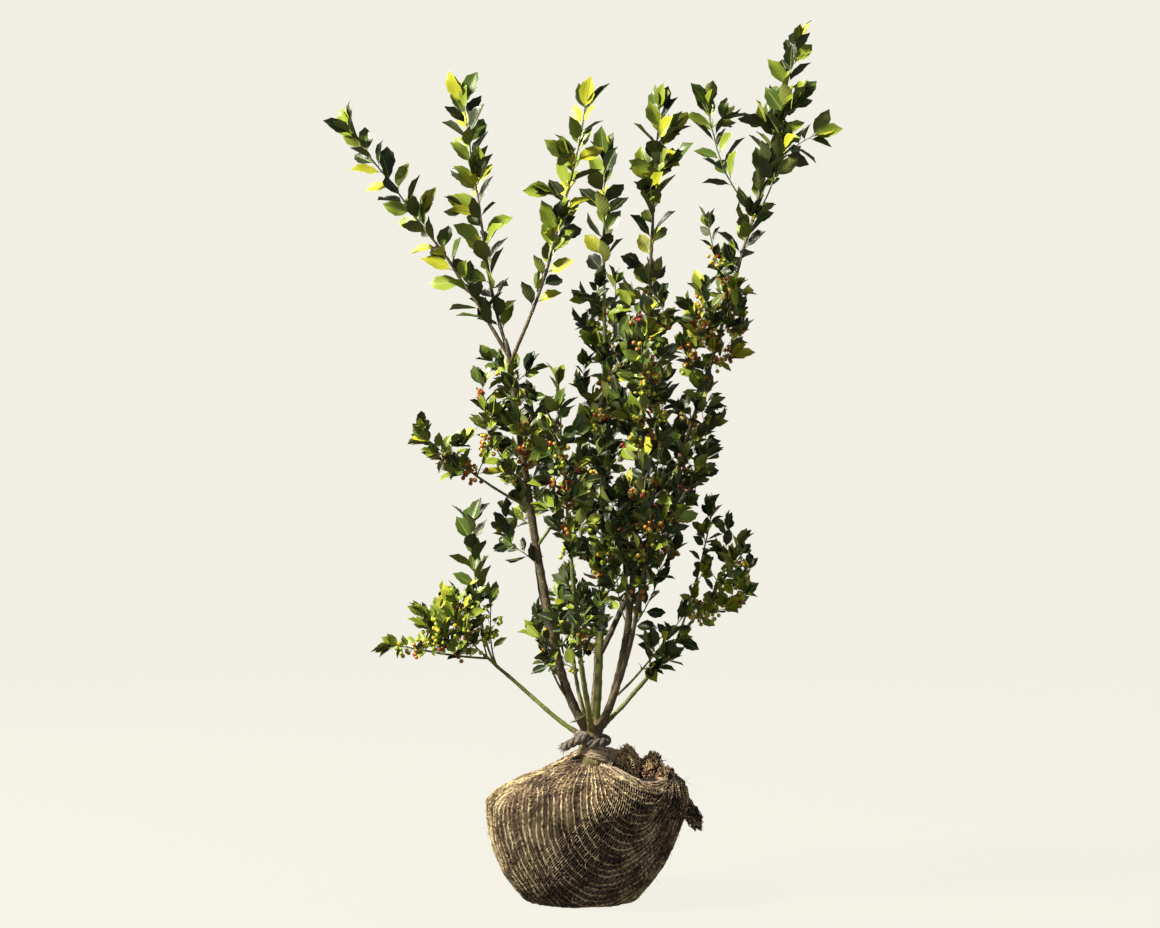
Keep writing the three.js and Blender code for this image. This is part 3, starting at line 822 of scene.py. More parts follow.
# One holly leaf of unit length along X, upper side up: blade, paler underside, midrib and stalk.
def leafShape(rng):
    fold, arch = rng.uniform(0.18, 0.58), rng.uniform(-0.05, 0.34)
    wave, twist, phase = rng.uniform(0.010, 0.030), rng.uniform(-0.35, 0.35), rng.uniform(0, 6)
    stations = leaf["stations"]

    def settle(vert, isTop):
        t, side = vert.co.x + 0.5, vert.co.y * 2
        half = leaf["ratio"] / 2 * max(0, math.sin(math.pi * min(1, t) ** 0.86)) ** 0.84
        x = t
        if abs(side) > 0.9 and 0.05 < t < 0.97:
            spine = round(t * stations) % 2
            half *= 1.05 if spine else 0.95
            x += 0.026 if spine else -0.01
        y = side * half
        z = fold * abs(y) - arch * t * t * 0.6 + twist * y * t
        z += wave * math.sin(9 * t + phase) * abs(side)
        if isTop and 0.1 < abs(side) < 0.9:
            z += 0.011
        if not isTop and abs(side) < 0.1:
            z -= 0.009
        return Vector((x, y, z))

    bm = bmesh.new()
    uvLayer = bm.loops.layers.uv.new("along")
    for isTop, columns, slotIndex in ((True, 4, 0), (False, 2, 1)):
        made = bmesh.ops.create_grid(bm, x_segments=stations, y_segments=columns, size=0.5)["verts"]
        faces = {face for vert in made for face in vert.link_faces}
        for face in faces:
            face.material_index = slotIndex
            for loop in face.loops:
                loop[uvLayer].uv = (loop.vert.co.x + 0.5, loop.vert.co.y)
        for vert in made:
            vert.co = settle(vert, isTop)
        if not isTop:
            bmesh.ops.reverse_faces(bm, faces=list(faces))
        bmesh.ops.remove_doubles(bm, verts=made, dist=1e-4)
    rib = bmesh.ops.create_grid(bm, x_segments=stations, y_segments=1, size=0.5)["verts"]
    ribFaces = {face for vert in rib for face in vert.link_faces}
    for vert in rib:
        t, side = vert.co.x + 0.5, vert.co.y * 2
        vert.co.y = 0
        low = settle(vert, True)
        vert.co = Vector((t * 0.93, side * (0.017 - 0.012 * t), low.z + 0.010))
    stalk = addCone(bm, 3, 0.015, 0.015, 0.17, False)
    bmesh.ops.rotate(bm, verts=stalk, matrix=Matrix.Rotation(math.radians(90), 3, "Y"))
    bmesh.ops.translate(bm, verts=stalk, vec=(-0.06, 0, 0))
    stalkFaces = {face for vert in stalk for face in vert.link_faces}
    for face in ribFaces | stalkFaces:
        face.material_index = 2
    bmesh.ops.translate(bm, verts=bm.verts, vec=(0.13, 0, 0))
    return shapeArrays(bm)


def berryShape():
    bm = bmesh.new()
    bmesh.ops.create_icosphere(bm, subdivisions=2, radius=1)
    bmesh.ops.scale(bm, vec=(1, 1, 0.94), verts=bm.verts)
    eye = addCone(bm, 5, 0.26, 0.10, 0.12, True)
    bmesh.ops.translate(bm, verts=eye, vec=(0, 0, 0.93))
    stalk = addCone(bm, 3, 0.12, 0.15, 1.9, False)
    bmesh.ops.translate(bm, verts=stalk, vec=(0, 0, -1.8))
    for verts, slotIndex in ((eye, 1), (stalk, 2)):
        for face in {face for vert in verts for face in vert.link_faces}:
            face.material_index = slotIndex
    return shapeArrays(bm)


# Holly leaf: a waxy skin, so a sharp soft highlight over a plain deep green, with sunken side veins.
def makeLeafSkin(name, tone, roughness, veins):
    material, tree, surface = newMaterial(name, Base_Color=linear(tone), Roughness=roughness, IOR=1.45)
    along = addNode(tree, "UVMap", uv_map="along")
    split = addNode(tree, "SeparateXYZ", {0: along.outputs[0]})
    across = addNode(tree, "Math", {0: split.outputs["Y"]}, operation="ABSOLUTE")
    slant = addNode(tree, "Math", {0: across.outputs[0], 1: -0.55, 2: split.outputs["X"]},
                    operation="MULTIPLY_ADD")
    ribs = addNode(tree, "Math", {0: slant.outputs[0], 1: 44.0}, operation="MULTIPLY")
    wave = addNode(tree, "Math", {0: ribs.outputs[0]}, operation="SINE")
    bump = addNode(tree, "Bump", {"Height": wave.outputs[0], "Strength": veins, "Distance": 0.0004})
    tree.links.new(bump.outputs["Normal"], surface.inputs["Normal"])
    return material


# The deep tones are the holly's own dark green; the sunlit tones are painted light, standing for leaves lit
# through by the key light.
leafTones = {
    "deep": ("#29331A", "#4B5229"), "mid": ("#4E6022", "#787F36"),
    "fresh": ("#84952D", "#989E3E"), "paintedSunlit": ("#B3B32B", "#B6B436"),
}
berryTones = {"lime": "#B5C638", "yellow": "#CFB43C", "orange": "#C47A36", "red": "#A4412A"}


def makeFoliage():
    rng = Random("leaf shapes")
    shapes = [leafShape(rng) for _ in range(leaf["variants"])]
    ribSkin = newMaterial("paleLeafMidrib", Base_Color=linear("#8E9E4E"), Roughness=0.45)[0]
    groups = {name: [] for name in tintNames}
    for i, name in enumerate(massNames):
        groups[tintNames[i % 4]].append(name)
    for name in tintNames:
        top, under = leafTones[name]
        skins = [makeLeafSkin("waxyLeaf_" + name, top, 0.46 if name == "paintedSunlit" else 0.36, 0.1),
                 makeLeafSkin("mattLeafUnderside_" + name, under, 0.55, 0.3), ribSkin]
        piece = joinCopies("leaves_" + name, shapes, leaves[name], *skins)
        finishPiece(piece, "foliage", *groups[name])
    eye = newMaterial("dryBerryEye", Base_Color=linear("#2B1B12"), Roughness=0.8)[0]
    stalk = newMaterial("berryStalk", Base_Color=linear("#77803A"), Roughness=0.5)[0]
    for name in berryNames:
        tone = linear(berryTones[name])
        skin = newMaterial("waxyBerry_" + name, Base_Color=tone, Roughness=0.22, IOR=1.45)[0]
        piece = joinCopies("berries_" + name, [berryShape()], berries[name], skin, eye, stalk)
        finishPiece(piece, "berries")
    bark = makeBark("greenTwigSkin", [(0.32, "#33401C"), (0.5, "#5B6630"), (0.66, "#7F8544")],
                    "#8E8458", 0.5)
    finishPiece(drawLines("twigs", twigs, 0, bark), "green_bark")


makeFoliage()
report("leaves and berries")

ball = {
    "height": 264, "belly": 172, "radius": 175, "foot": 84, "neck": 27, "shift": 26,
    "turns": 96, "soilDepth": 4.0, "shoulderSag": 17,
    # where the top has sunk: middle x and y, reach across and in depth, and depth. The second is wider
    # and deeper than the CAD's.
    "dents": [(106, -52, 52, 46, 32), (27, -30, 30, 24, 33)],
    "hollow": (100, -6, 243), "hollowRadii": (48, 34, 34), "hollowLean": 18,
}


def eased(value, low, high):
    t = max(0, min(1, (value - low) / (high - low)))
    return t * t * (3 - 2 * t)


def sunkBy(x, y, z, angle):
    shoulder = max(0, min(1, (z - ball["belly"]) / (ball["height"] - ball["belly"])))
    sunk = ball["shoulderSag"] * max(0, -math.cos(angle)) * math.sin(math.pi * shoulder)
    top = eased(z, ball["belly"] * 0.7, ball["height"] * 0.85)
    for dentX, dentY, side, deep, depth in ball["dents"]:
        sunk += depth * math.exp(-((x - dentX) / side) ** 2 - ((y - dentY) / deep) ** 2) * top
    return sunk


def bezier(start, control, end, count):
    shares = [step / count for step in range(1, count + 1)]
    return [start.lerp(control, t).lerp(control.lerp(end, t), t) for t in shares]


# The smooth skin that the net lies on: the CAD ball's own section and slack, in finer steps, with the
# sunk places above.
def ballSkin():
    r, belly, height = ball["radius"], ball["belly"], ball["height"]
    lowest = Vector((ball["foot"] * 0.82, -20))
    waist = Vector((r, belly))
    shoulder = Vector((r * 0.62, height * 0.88))
    mouth = Vector((ball["neck"], height))
    profile = [Vector((0, -20)), lowest * 0.5 + Vector((0, -10)), lowest]
    profile += bezier(lowest, Vector((r * 0.94, belly * 0.3)), waist, 26)
    profile += bezier(waist, Vector((r, belly * 1.26)), shoulder, 18)
    profile += bezier(shoulder, Vector((ball["neck"] * 1.6, height * 0.97)), mouth, 12)
    profile += [Vector((ball["neck"] * 0.5, height)), Vector((0, height))]
    bm = spun([(p.x * mm, p.y * mm) for p in profile], ball["turns"], 1e-6)
    for vert in bm.verts:
        x, y, z = vert.co / mm
        angle = math.atan2(y, x)
        waves = math.sin(3 * angle + 0.6) + 0.6 * math.sin(5 * angle + z / 40)
        slack = 1 + 0.022 * eased(z, 0, belly) * waves
        lean = ball["shift"] * (max(z, 0) / height) ** 2
        x, y = x * slack + lean, y * slack
        vert.co = Vector((x, y, max(z - sunkBy(x, y, z, angle), 0))) * mm
    bmesh.ops.recalc_face_normals(bm, faces=bm.faces)
    return bm


# A place as seen from the middle of the hollow, in units of its radii.
def fromHollow(place):
    turn = Matrix.Rotation(math.radians(-ball["hollowLean"]), 3, "Y")
    away = turn @ (place / mm - Vector(ball["hollow"]))
    return Vector([a / r for a, r in zip(away, ball["hollowRadii"])])


def makeSoil(skin):
    bm = skin.copy()
    bmesh.ops.subdivide_edges(bm, edges=bm.edges, cuts=1, use_grid_fill=True)
    bm.normal_update()
    depth = ball["soilDepth"] * mm
    moved = {}
    for vert in bm.verts:
        p = vert.co.copy()
        clods = noise.fractal(p * 60, 1.0, 2.0, 4) * 1.9 * mm
        spot = p - vert.normal * (depth - clods)
        inside = fromHollow(spot)
        if inside.length < 1:
            deeper = inside.normalized() if inside.length > 0.05 else Vector((0, 0, -1))
            deeper.z = -abs(deeper.z) - 0.35
            deeper.normalize()
            local = Vector([d * r for d, r in zip(deeper, ball["hollowRadii"])])
            back = Matrix.Rotation(math.radians(ball["hollowLean"]), 3, "Y") @ local
            target = (Vector(ball["hollow"]) + back) * mm
            spot = spot.lerp(target, min(1, (1 - inside.length) * 2.2))
            spot += up * noise.fractal(p * 90, 1.0, 2.0, 3) * 4 * mm
        moved[vert] = Vector((spot.x, spot.y, max(spot.z, 0)))
    for vert, spot in moved.items():
        vert.co = spot
    # Damp loam: almost black, crumbly and dull, with a few paler crumbs.
    material, tree, surface = newMaterial("dampLoam", Roughness=0.95)
    place = addNode(tree, "TexCoord").outputs["Object"]
    crumbs = addNode(tree, "TexNoise", {"Vector": place, "Scale": 260, "Detail": 6, "Roughness": 0.7})
    ramp = addNode(tree, "ValToRGB", {"Fac": crumbs.outputs["Fac"]},
                   stops=[(0.35, "#0E0907"), (0.55, "#20150F"), (0.75, "#3A291D")])
    tree.links.new(ramp.outputs["Color"], surface.inputs["Base Color"])
    bump = addNode(tree, "Bump", {"Height": crumbs.outputs["Fac"], "Strength": 0.9, "Distance": 0.002})
    tree.links.new(bump.outputs["Normal"], surface.inputs["Normal"])
    finishPiece(newObject("soil_core", meshFrom(bm, "soil_core"), material), "soil", "root_ball")


net = {
    "heart": (60, -12, 138),
    # How single yarns lie down the front, as bearing and height in degrees seen from the heart: from the
    # gather at the neck, in nested loops, to the gather by the knots. The back repeats them, mirrored.
    # Most of the figures in courses were worked out by a separate script.
    "neckGather": (164, 72), "knotGather": (-6, 37),
    "courses": [
        [(-120, 74), (-94, 72), (-74, 67), (-56, 60), (-44, 53), (-34, 46), (-26, 42), (-18, 39)],
        [(-99, 36), (-94, 25), (-88, 18), (-81, 12), (-72, 10), (-63, 12), (-56, 18), (-42, 29)],
        [(-105, 33), (-101, 20), (-97, 11), (-89, 3), (-78, -2), (-65, 1), (-55, 10), (-44, 23)],
        [(-110, 32), (-106, 17), (-103, 5), (-95, -6), (-83, -12), (-66, -8), (-54, 3), (-41, 19)],
        [(-120, 33), (-114, 15), (-112, 1), (-106, -13), (-92, -23), (-71, -19), (-51, -4), (-38, 15)],
        [(-133, 34), (-123, 14), (-122, -2), (-117, -20), (-102, -36), (-74, -36), (-44, -16), (-32, 11)],
        [(-156, 35), (-133, 15), (-133, -2), (-129, -23), (-115, -46), (-73, -53), (-33, -29), (-24, 7)],
        [(-178, 34), (-150, 15), (-146, -1), (-143, -24), (-134, -58), (-60, -64), (-24, -32), (-15, 6)],
    ],
    "sideCourse": [(180, 36), (180, 13), (180, -5), (180, -31), (180, -70), (0, -66), (0, -14), (0, 14)],
    "backRim": [(110, 76), (92, 70), (78, 66), (64, 60), (50, 54), (38, 48), (24, 44), (8, 41)],
    "yarnSpacing": 12.8, "finePerYarn": 1, "weftSpacing": 4.6, "shortOf": (25, 6),
    "yarnRadius": 0.9, "yarnHalf": 1.3, "fineRadius": 0.45, "weftRadius": 0.74, "rise": 0.8,
    "pleat": 0.8, "neckPleat": 2.6, "knotPleat": 5.4, "yarnsPerPleat": 2.7,
}


# A smooth run of rows through the given rows.
def smoothRows(rows, count):
    rows = np.array(rows)
    padded = np.concatenate(([2 * rows[0] - rows[1]], rows, [2 * rows[-1] - rows[-2]]))
    at = np.linspace(0, len(rows) - 1, count)
    i = np.minimum(at.astype(int), len(rows) - 2)
    t = (at - i).reshape((-1,) + (1,) * (rows.ndim - 1))
    a, b, c, d = (padded[i + k] for k in range(4))
    return b + 0.5 * t * (c - a + t * (2 * a - 5 * b + 4 * c - d + t * (3 * (b - c) + d - a)))


def wayTo(bearing, height):
    return heading(90 - height, bearing)


def farAlong(places):
    steps = np.linalg.norm(np.diff(places, axis=0), axis=1)
    return np.concatenate(([0], np.cumsum(steps)))


def resampled(places, far, wanted):
    return np.stack([np.interp(wanted, far, places[:, i]) for i in range(3)], axis=1)


# The weave laid out on the ball: a place for every crossing, or none where the cloth has ended.
def layNet(skin):
    shape = BVHTree.FromBMesh(skin)
    heart = Vector(net["heart"]) * mm
    front = net["courses"]
    back = [[(-bearing, height) for bearing, height in course] for course in front[:0:-1]]
    courses = [[net["neckGather"], *course, net["knotGather"]]
               for course in front + [net["sideCourse"]] + back + [net["backRim"]]]
    sheet = smoothRows([[wayTo(*spot) for spot in course] for course in courses], len(courses) * 12)

    def castOut(ways):
        return np.array([shape.ray_cast(heart, Vector(way))[0] for way in ways])

    belly = farAlong(castOut(sheet[:, 3]))
    perYarn = 1 + net["finePerYarn"]
    warps = int(belly[-1] / mm / net["yarnSpacing"]) * perYarn
    reach = 96     # crossings each way from the belly
    spots = np.full((warps + 1, 2 * reach + 1, 3), np.nan)
    for j, share in enumerate(np.linspace(0, belly[-1], warps + 1)):
        share += noise.noise(Vector((j * 0.33, 1.0, 3.0))) * 4 * mm
        at = np.interp(share, belly, np.arange(len(belly)))
        low = min(int(at), len(sheet) - 2)
        ways = sheet[low] + (sheet[low + 1] - sheet[low]) * (at - low)
        places = castOut(smoothRows(ways, 145))
        far = farAlong(places)
        wanted = far[80] + np.arange(-reach, reach + 1) * net["weftSpacing"] * mm
        fits = (wanted > net["shortOf"][0] * mm) & (wanted < far[-1] - net["shortOf"][1] * mm)
        line = resampled(places, far, wanted[fits])
        outs = unit(line - np.array(heart))
        fromNeck, fromKnots = wanted[fits] / mm, (far[-1] - wanted[fits]) / mm
        atNeck = net["neckPleat"] * np.exp(-fromNeck / 42)
        depth = net["pleat"] + atNeck + net["knotPleat"] * np.exp(-fromKnots / 75)
        turn = math.tau * j / perYarn / net["yarnsPerPleat"]
        wave = np.sin(turn + 1.6 * np.sin(fromKnots / 70) + 0.9 * math.sin(j * 0.37))
        wobble = np.array([noise.noise(Vector(p) * 26) for p in line]) * 2.4
        apart = Vector((j * 3.3, 0, 0))     # each yarn strays in its own way
        stray = np.array([noise.noise_vector(Vector(p) * 70 + apart) for p in line]) * 1.5
        spots[j, fits] = line + (outs * (depth * wave + wobble)[:, None] + stray) * mm
    return np.array(heart), spots, perYarn


def unit(rows):
    return rows / (np.linalg.norm(rows, axis=-1, keepdims=True) + 1e-12)


def runsOf(valid):
    groups, group = [], []
    for i, good in enumerate(valid):
        if good:
            group.append(i)
        elif group:
            groups.append(group)
            group = []
    return [g for g in groups + [group] if len(g) > 2]


def weaveNet(heart, spots, perYarn):
    across = np.empty_like(spots)
    across[:-1] = spots[1:] - spots[:-1]
    across[-1] = across[-2]
    missing = np.isnan(across).any(axis=2)
    across[1:][missing[1:]] = (spots[1:] - spots[:-1])[missing[1:]]
    across[np.isnan(across)] = 0
    along = np.gradient(np.nan_to_num(spots), axis=1)
    out = spots - heart
    normals = np.cross(unit(along), unit(across))
    normals *= np.sign((normals * out).sum(axis=2, keepdims=True))
    flat = (np.linalg.norm(normals, axis=2) < 0.3) | np.isnan(normals).any(axis=2)
    normals[flat] = unit(out)[flat]
    normals = unit(normals)
    crowd = np.linalg.norm(across, axis=2) / (net["yarnSpacing"] / perYarn * mm)
    crowd = np.clip(crowd, 0.3, 1.0)
    rise, half = net["rise"] * mm, net["yarnHalf"] * mm
    heavy, thin, weft = [], [], []
    for j in range(len(spots)):
        keep = np.flatnonzero(~np.isnan(spots[j, :, 0]))
        path, outs, sides, tight = spots[j, keep], normals[j, keep], unit(across[j, keep]), crowd[j, keep]
        signs = np.where((keep + j) % 2 == 0, 1.0, -1.0)[:, None]
        if j % perYarn == 0:
            for strand in (1, -1):
                lateral = signs * strand * half * tight[:, None]
                line = path + sides * lateral + outs * rise * (1.2 + 0.6 * strand)
                beads = np.where((keep + strand) % 4 < 2, 1.3, 0.75)
                heavy.append((line, tight ** 0.5 * net["yarnRadius"] * beads * mm))
        else:
            line = path + outs * signs * rise * 0.5
            thin.append((line[::2], (tight ** 0.5 * net["fineRadius"] * mm)[::2]))
    columns = list(range(len(spots)))
    for k in range(spots.shape[1]):
        for group in runsOf(~np.isnan(spots[columns, k, 0])):
            chosen = [columns[g] for g in group]
            signs = np.where((np.arange(len(chosen)) + k) % 2 == 0, 1.0, -1.0)
            over = np.array([2.6 if (k + j // perYarn) % 2 else -0.6 for j in chosen])
            height = np.where(np.array(chosen) % perYarn == 0, over, -signs * 0.6)[:, None]
            line = spots[chosen, k] + normals[chosen, k] * height * rise
            weft.append((line, np.full(len(chosen), net["weftRadius"] * mm)))
    for lines in (heavy, thin, weft):
        for line, _ in lines:
            line[:, 2] = np.maximum(line[:, 2], 1.2 * mm)
    return [[entry for entry in lines if len(entry[0]) > 2] for lines in (heavy, thin, weft)] + [normals]


# Jute yarn: coarse bast fibre, dry and dull, straw in places and muddy brown in others, with painted shade on
# the side by the knots.
def makeJute(name, shades, topDarkening=0.0):
    material, tree, surface = newMaterial(name, Roughness=0.92, Sheen_Weight=0.15)
    place = addNode(tree, "TexCoord").outputs["Object"]
    blotches = addNode(tree, "TexNoise", {"Vector": place, "Scale": 30, "Detail": 3, "Roughness": 0.6})
    flecks = addNode(tree, "TexNoise", {"Vector": place, "Scale": 210, "Detail": 2})
    fibres = addNode(tree, "TexNoise", {"Vector": place, "Scale": 520, "Detail": 2})
    coarse = addNode(tree, "Math", {0: blotches.outputs["Fac"], 1: flecks.outputs["Fac"]}, operation="ADD")
    level = addNode(tree, "Math", {0: coarse.outputs[0], 1: 0.5}, operation="MULTIPLY")
    # Painted shade: darker towards the side by the knots, which faces away from the key light. Also darker up
    # from the foot, and towards the top by the given amount.
    sides = addNode(tree, "SeparateXYZ", {0: place})
    paintedShadeRight = addNode(tree, "MapRange", {"Value": sides.outputs["X"], "From Min": 0.085, "From Max": 0.16,
                                         "To Min": 0.0, "To Max": 0.075})
    darkerToFoot = addNode(tree, "MapRange", {"Value": sides.outputs["Z"], "From Min": 0.0, "From Max": 0.05,
                                          "To Min": 0.05, "To Max": 0.0})
    darkerToTop = addNode(tree, "MapRange", {"Value": sides.outputs["Z"], "From Min": 0.19, "From Max": 0.25,
                                      "To Min": 0.0, "To Max": topDarkening})
    topDarkened = addNode(tree, "Math", {0: level.outputs[0], 1: darkerToTop.outputs[0]}, operation="SUBTRACT")
    rightShadePainted = addNode(tree, "Math", {0: topDarkened.outputs[0], 1: paintedShadeRight.outputs[0]}, operation="SUBTRACT")
    darkenedLevel = addNode(tree, "Math", {0: rightShadePainted.outputs[0], 1: darkerToFoot.outputs[0]}, operation="SUBTRACT")
    ramp = addNode(tree, "ValToRGB", {"Fac": darkenedLevel.outputs[0]}, stops=shades)
    tree.links.new(ramp.outputs["Color"], surface.inputs["Base Color"])
    bump = addNode(tree, "Bump", {"Height": fibres.outputs["Fac"], "Strength": 0.8, "Distance": 0.0008})
    tree.links.new(bump.outputs["Normal"], surface.inputs["Normal"])
    return material


strawJute = makeJute("strawJuteYarn", [(0.36, "#3A2B1A"), (0.47, "#9A7E4C"), (0.55, "#F0DFAC")], 0.062)
muddyJute = makeJute("muddyJuteYarn", [(0.36, "#2A1F18"), (0.5, "#57463A"), (0.64, "#8E7A63")])
rungJute = makeJute("faintJuteRung", [(0.37, "#2A1C15"), (0.48, "#80684F"), (0.60, "#CFB68F")], 0.06)
hemJute = makeJute("bleachedJuteHem", [(0.27, "#5A4B3C"), (0.42, "#A48E76"), (0.57, "#D3C0A1")])
ropeJute = makeJute("weatheredJuteRope", [(0.34, "#3B342C"), (0.5, "#6F6558"), (0.66, "#A29786")])
shadedJute = makeJute("shadedJuteFold", [(0.36, "#140D08"), (0.5, "#3E2D1E"), (0.62, "#75593A")])
lumpJute = makeJute("tannedJuteLump", [(0.36, "#1E140D"), (0.44, "#876443"), (0.52, "#E3C998")])

bundles = {
    "knot_inner": dict(node="jute_knot_inner", pale=True,
                       centre=(88, 18, 238), radii=(15, 16, 29), lean=-14),
    "knot_outer": dict(node="jute_knot_outer", pale=True,
                       centre=(127, 16, 227), radii=(16, 17, 27), lean=10),
    "knot_shred": dict(node=None, pale=True,
                       centre=(66, 6, 248), radii=(13, 12, 11), lean=60),
    "knot_fold": dict(node=None, pale=True,
                      centre=(150, -6, 216), radii=(15, 22, 17), lean=35),
    "knot_side": dict(node=None, pale=False,
                      centre=(172, -20, 190), radii=(12, 17, 27), lean=158),
    "knot_tail": dict(node="jute_knot_tail", pale=False,
                      centre=(194, -20, 156), radii=(12, 13, 30), lean=150),
}
knot = {
    "yarnGap": 5.4, "rungGap": 4.6, "yarnRadius": 0.85, "straws": 22, "strawLength": (6, 17),
    "tangle": 110, "tangleSweep": (0.6, 1.7),
}


# Where the surface of a crumpled lump lies, in mm, looking along p from its middle.
def crumpled(bundle, p):
    seed = sum(bundle["centre"])
    pleats = abs(math.sin(math.atan2(p.y, p.x) * 2.5 + 2.6 * p.z + seed)) - 0.6
    creases = 1 - 2.6 * abs(noise.noise(p * 2.3 + Vector((seed, 0, 0))))
    fold = 0.84 + 0.30 * creases + 0.30 * pleats * (1.1 - p.z * p.z) + 0.12 * noise.noise(p * 5)
    turn = Matrix.Rotation(math.radians(bundle["lean"]), 3, "Y")
    return Vector(bundle["centre"]) + turn @ Vector([c * r * fold for c, r in zip(p, bundle["radii"])])


def onGlobe(rise, bearing):
    flat = math.cos(rise)
    return Vector((flat * math.cos(bearing), flat * math.sin(bearing), math.sin(rise)))


# The end of the net gathered into a lump: yarns from top to bottom, rungs round it, and loose straws.
def bundleLines(bundle, rng):
    yarns, rungs, straws = [], [], []
    widest = max(bundle["radii"][:2])
    around = round(math.tau * widest / knot["yarnGap"])
    for i in range(around):
        spin = math.tau * i / around
        points = []
        for k in range(27):
            rise = math.radians(-86 + 172 * k / 26)
            bearing = spin + 0.5 * math.sin(rise * 2 + i * 0.1)
            points.append(crumpled(bundle, onGlobe(rise, bearing)) * mm)
        yarns.append((points, [rng.uniform(0.8, 1.3) * knot["yarnRadius"] * mm] * 27))
    rungCount = round(math.pi * bundle["radii"][2] / knot["rungGap"])
    for k in range(rungCount):
        rise = math.radians(-78 + 156 * (k + 0.5) / rungCount)
        points = []
        for i in range(2 * around + 1):
            bearing = math.pi * i / around
            points.append(crumpled(bundle, onGlobe(rise, bearing) * (1.03 if i % 2 else 0.99)) * mm)
        rungs.append((points, [0.55 * mm] * len(points)))
    for _ in range(knot["straws"]):
        start = Vector((rng.gauss(0, 0.6), rng.gauss(0, 0.6), rng.uniform(0.1, 0.9))).normalized()
        way = (start * 0.6 + scatter(rng, 0.6)).normalized()
        base = crumpled(bundle, start)
        length = rng.uniform(*knot["strawLength"])
        curl = scatter(rng, 0.3)
        points = [(base + way * length * (t - 0.35) + curl * length * t * t * 0.5) * mm
                  for t in (0, 0.33, 0.66, 1)]
        straws.append((points, [0.6 * mm, 0.6 * mm, 0.5 * mm, 0.25 * mm]))
    for _ in range(knot["tangle"]):
        start = scatter(rng, 1).normalized()
        axis = start.orthogonal().normalized()
        axis.rotate(Matrix.Rotation(rng.uniform(0, math.tau), 3, start))
        sweep = rng.uniform(*knot["tangleSweep"])
        lift, seed = rng.uniform(0.0, 0.16), rng.uniform(0, 50)
        points = []
        for k in range(8):
            p = start.copy()
            p.rotate(Matrix.Rotation(sweep * k / 7, 3, axis))
            p += noise.noise_vector(p * 2.5 + Vector((seed, 0, 0))) * 0.22
            points.append(crumpled(bundle, p.normalized()).lerp(Vector(bundle["centre"]), -lift) * mm)
        thickness = rng.uniform(0.5, 1.15) * mm
        straws.append((points, [thickness * share for share in (0.4, 0.9, 1, 1, 1, 1, 0.9, 0.3)]))
    return yarns, rungs, straws


def makeBundleCore(name, bundle):
    bm = bmesh.new()
    bmesh.ops.create_icosphere(bm, subdivisions=4, radius=1)
    for vert in bm.verts:
        vert.co = crumpled(bundle, vert.co.copy()).lerp(Vector(bundle["centre"]), 0.12)
    bmesh.ops.scale(bm, verts=bm.verts, vec=(mm, mm, mm))
    return newObject(name, meshFrom(bm, name), shadedJute)


tie = {
    "turnRadius": 25.5, "startAngle": 250, "sweep": 345, "height": 276, "climb": 15,
    "looseEnd": [(-8, -26, -4), (-32, -28, -13), (-51, -26, -23)],
    "strandRadius": 4.3, "lay": 34, "strands": 3, "wrapRadius": 22.5,
}


def ropeRoute():
    crown = Vector(wood["crown"])
    route = []
    for i in range(29):
        share = i / 28
        angle = math.radians(tie["startAngle"] + tie["sweep"] * share)
        route.append(Vector((crown.x + tie["turnRadius"] * math.cos(angle),
                             tie["turnRadius"] * math.sin(angle), tie["height"] + tie["climb"] * share)))
    ends = [crown + Vector(p) for p in tie["looseEnd"]]
    for a, b in zip([route[-1]] + ends, ends):
        route += [a.lerp(b, t) for t in (0.34, 0.67, 1)]
    fine = []
    for a, b in zip(route, route[1:]):
        count = max(1, round((b - a).length / 2.2))
        fine += [a.lerp(b, t / count) for t in range(count)]
    fine.append(route[-1])
    for _ in range(6):
        fine = [fine[0]] + [(a + b * 2 + c) / 4 for a, b, c in zip(fine, fine[1:], fine[2:])] + [fine[-1]]
    return fine


def makeTie():
    route = ropeRoute()
    lines = []
    rng = Random("tie")
    along = np.concatenate(([0], np.cumsum([(b - a).length for a, b in zip(route, route[1:])])))
    for strand in range(tie["strands"]):
        points, radii = [], []
        for i, centre in enumerate(route):
            ahead = (route[min(i + 1, len(route) - 1)] - route[max(i - 1, 0)]).normalized()
            side = ahead.cross(up).normalized()
            top = side.cross(ahead)
            angle = math.tau * (along[i] / tie["lay"] + strand / tie["strands"])
            out = side * math.cos(angle) + top * math.sin(angle)
            points.append((centre + out * tie["strandRadius"] * 1.02) * mm)
            radii.append(tie["strandRadius"] * mm * (1 + 0.08 * noise.noise(centre * 0.4)))
        lines.append((points, radii))
    end, before = route[-1], route[-6]
    outward = (end - before).normalized()
    for _ in range(34):
        way = (outward + scatter(rng, 0.5)).normalized()
        base = end - outward * 3 + scatter(rng, 2.2)
        length = rng.uniform(4, 13)
        points = [(base + way * length * t - up * length * t * t * 0.25) * mm for t in (0, 0.4, 0.7, 1)]
        lines.append((points, [0.7 * mm, 0.6 * mm, 0.45 * mm, 0.25 * mm]))
    rope = drawLines("tie_rope", lines, 2, ropeJute)
    relieve(rope, lambda p: 0.35 * mm * noise.noise(p * 700))
    finishPiece(rope, "jute", "neck_tie")


wraps = {"turns": 5, "strands": 4, "spacing": 4.5, "start": (215, 240), "sweep": (110, 150), "drop": (14, 24)}
fibres = {"count": 560, "length": (3, 11)}
hem = {"strands": 14, "roll": 5.4, "twist": 0.22, "radius": 1.35}
collar = {
    "yarns": 44, "middle": 24, "radius": 29, "spread": 9, "height": 262, "fall": 6.5, "frontDrop": 29,
}


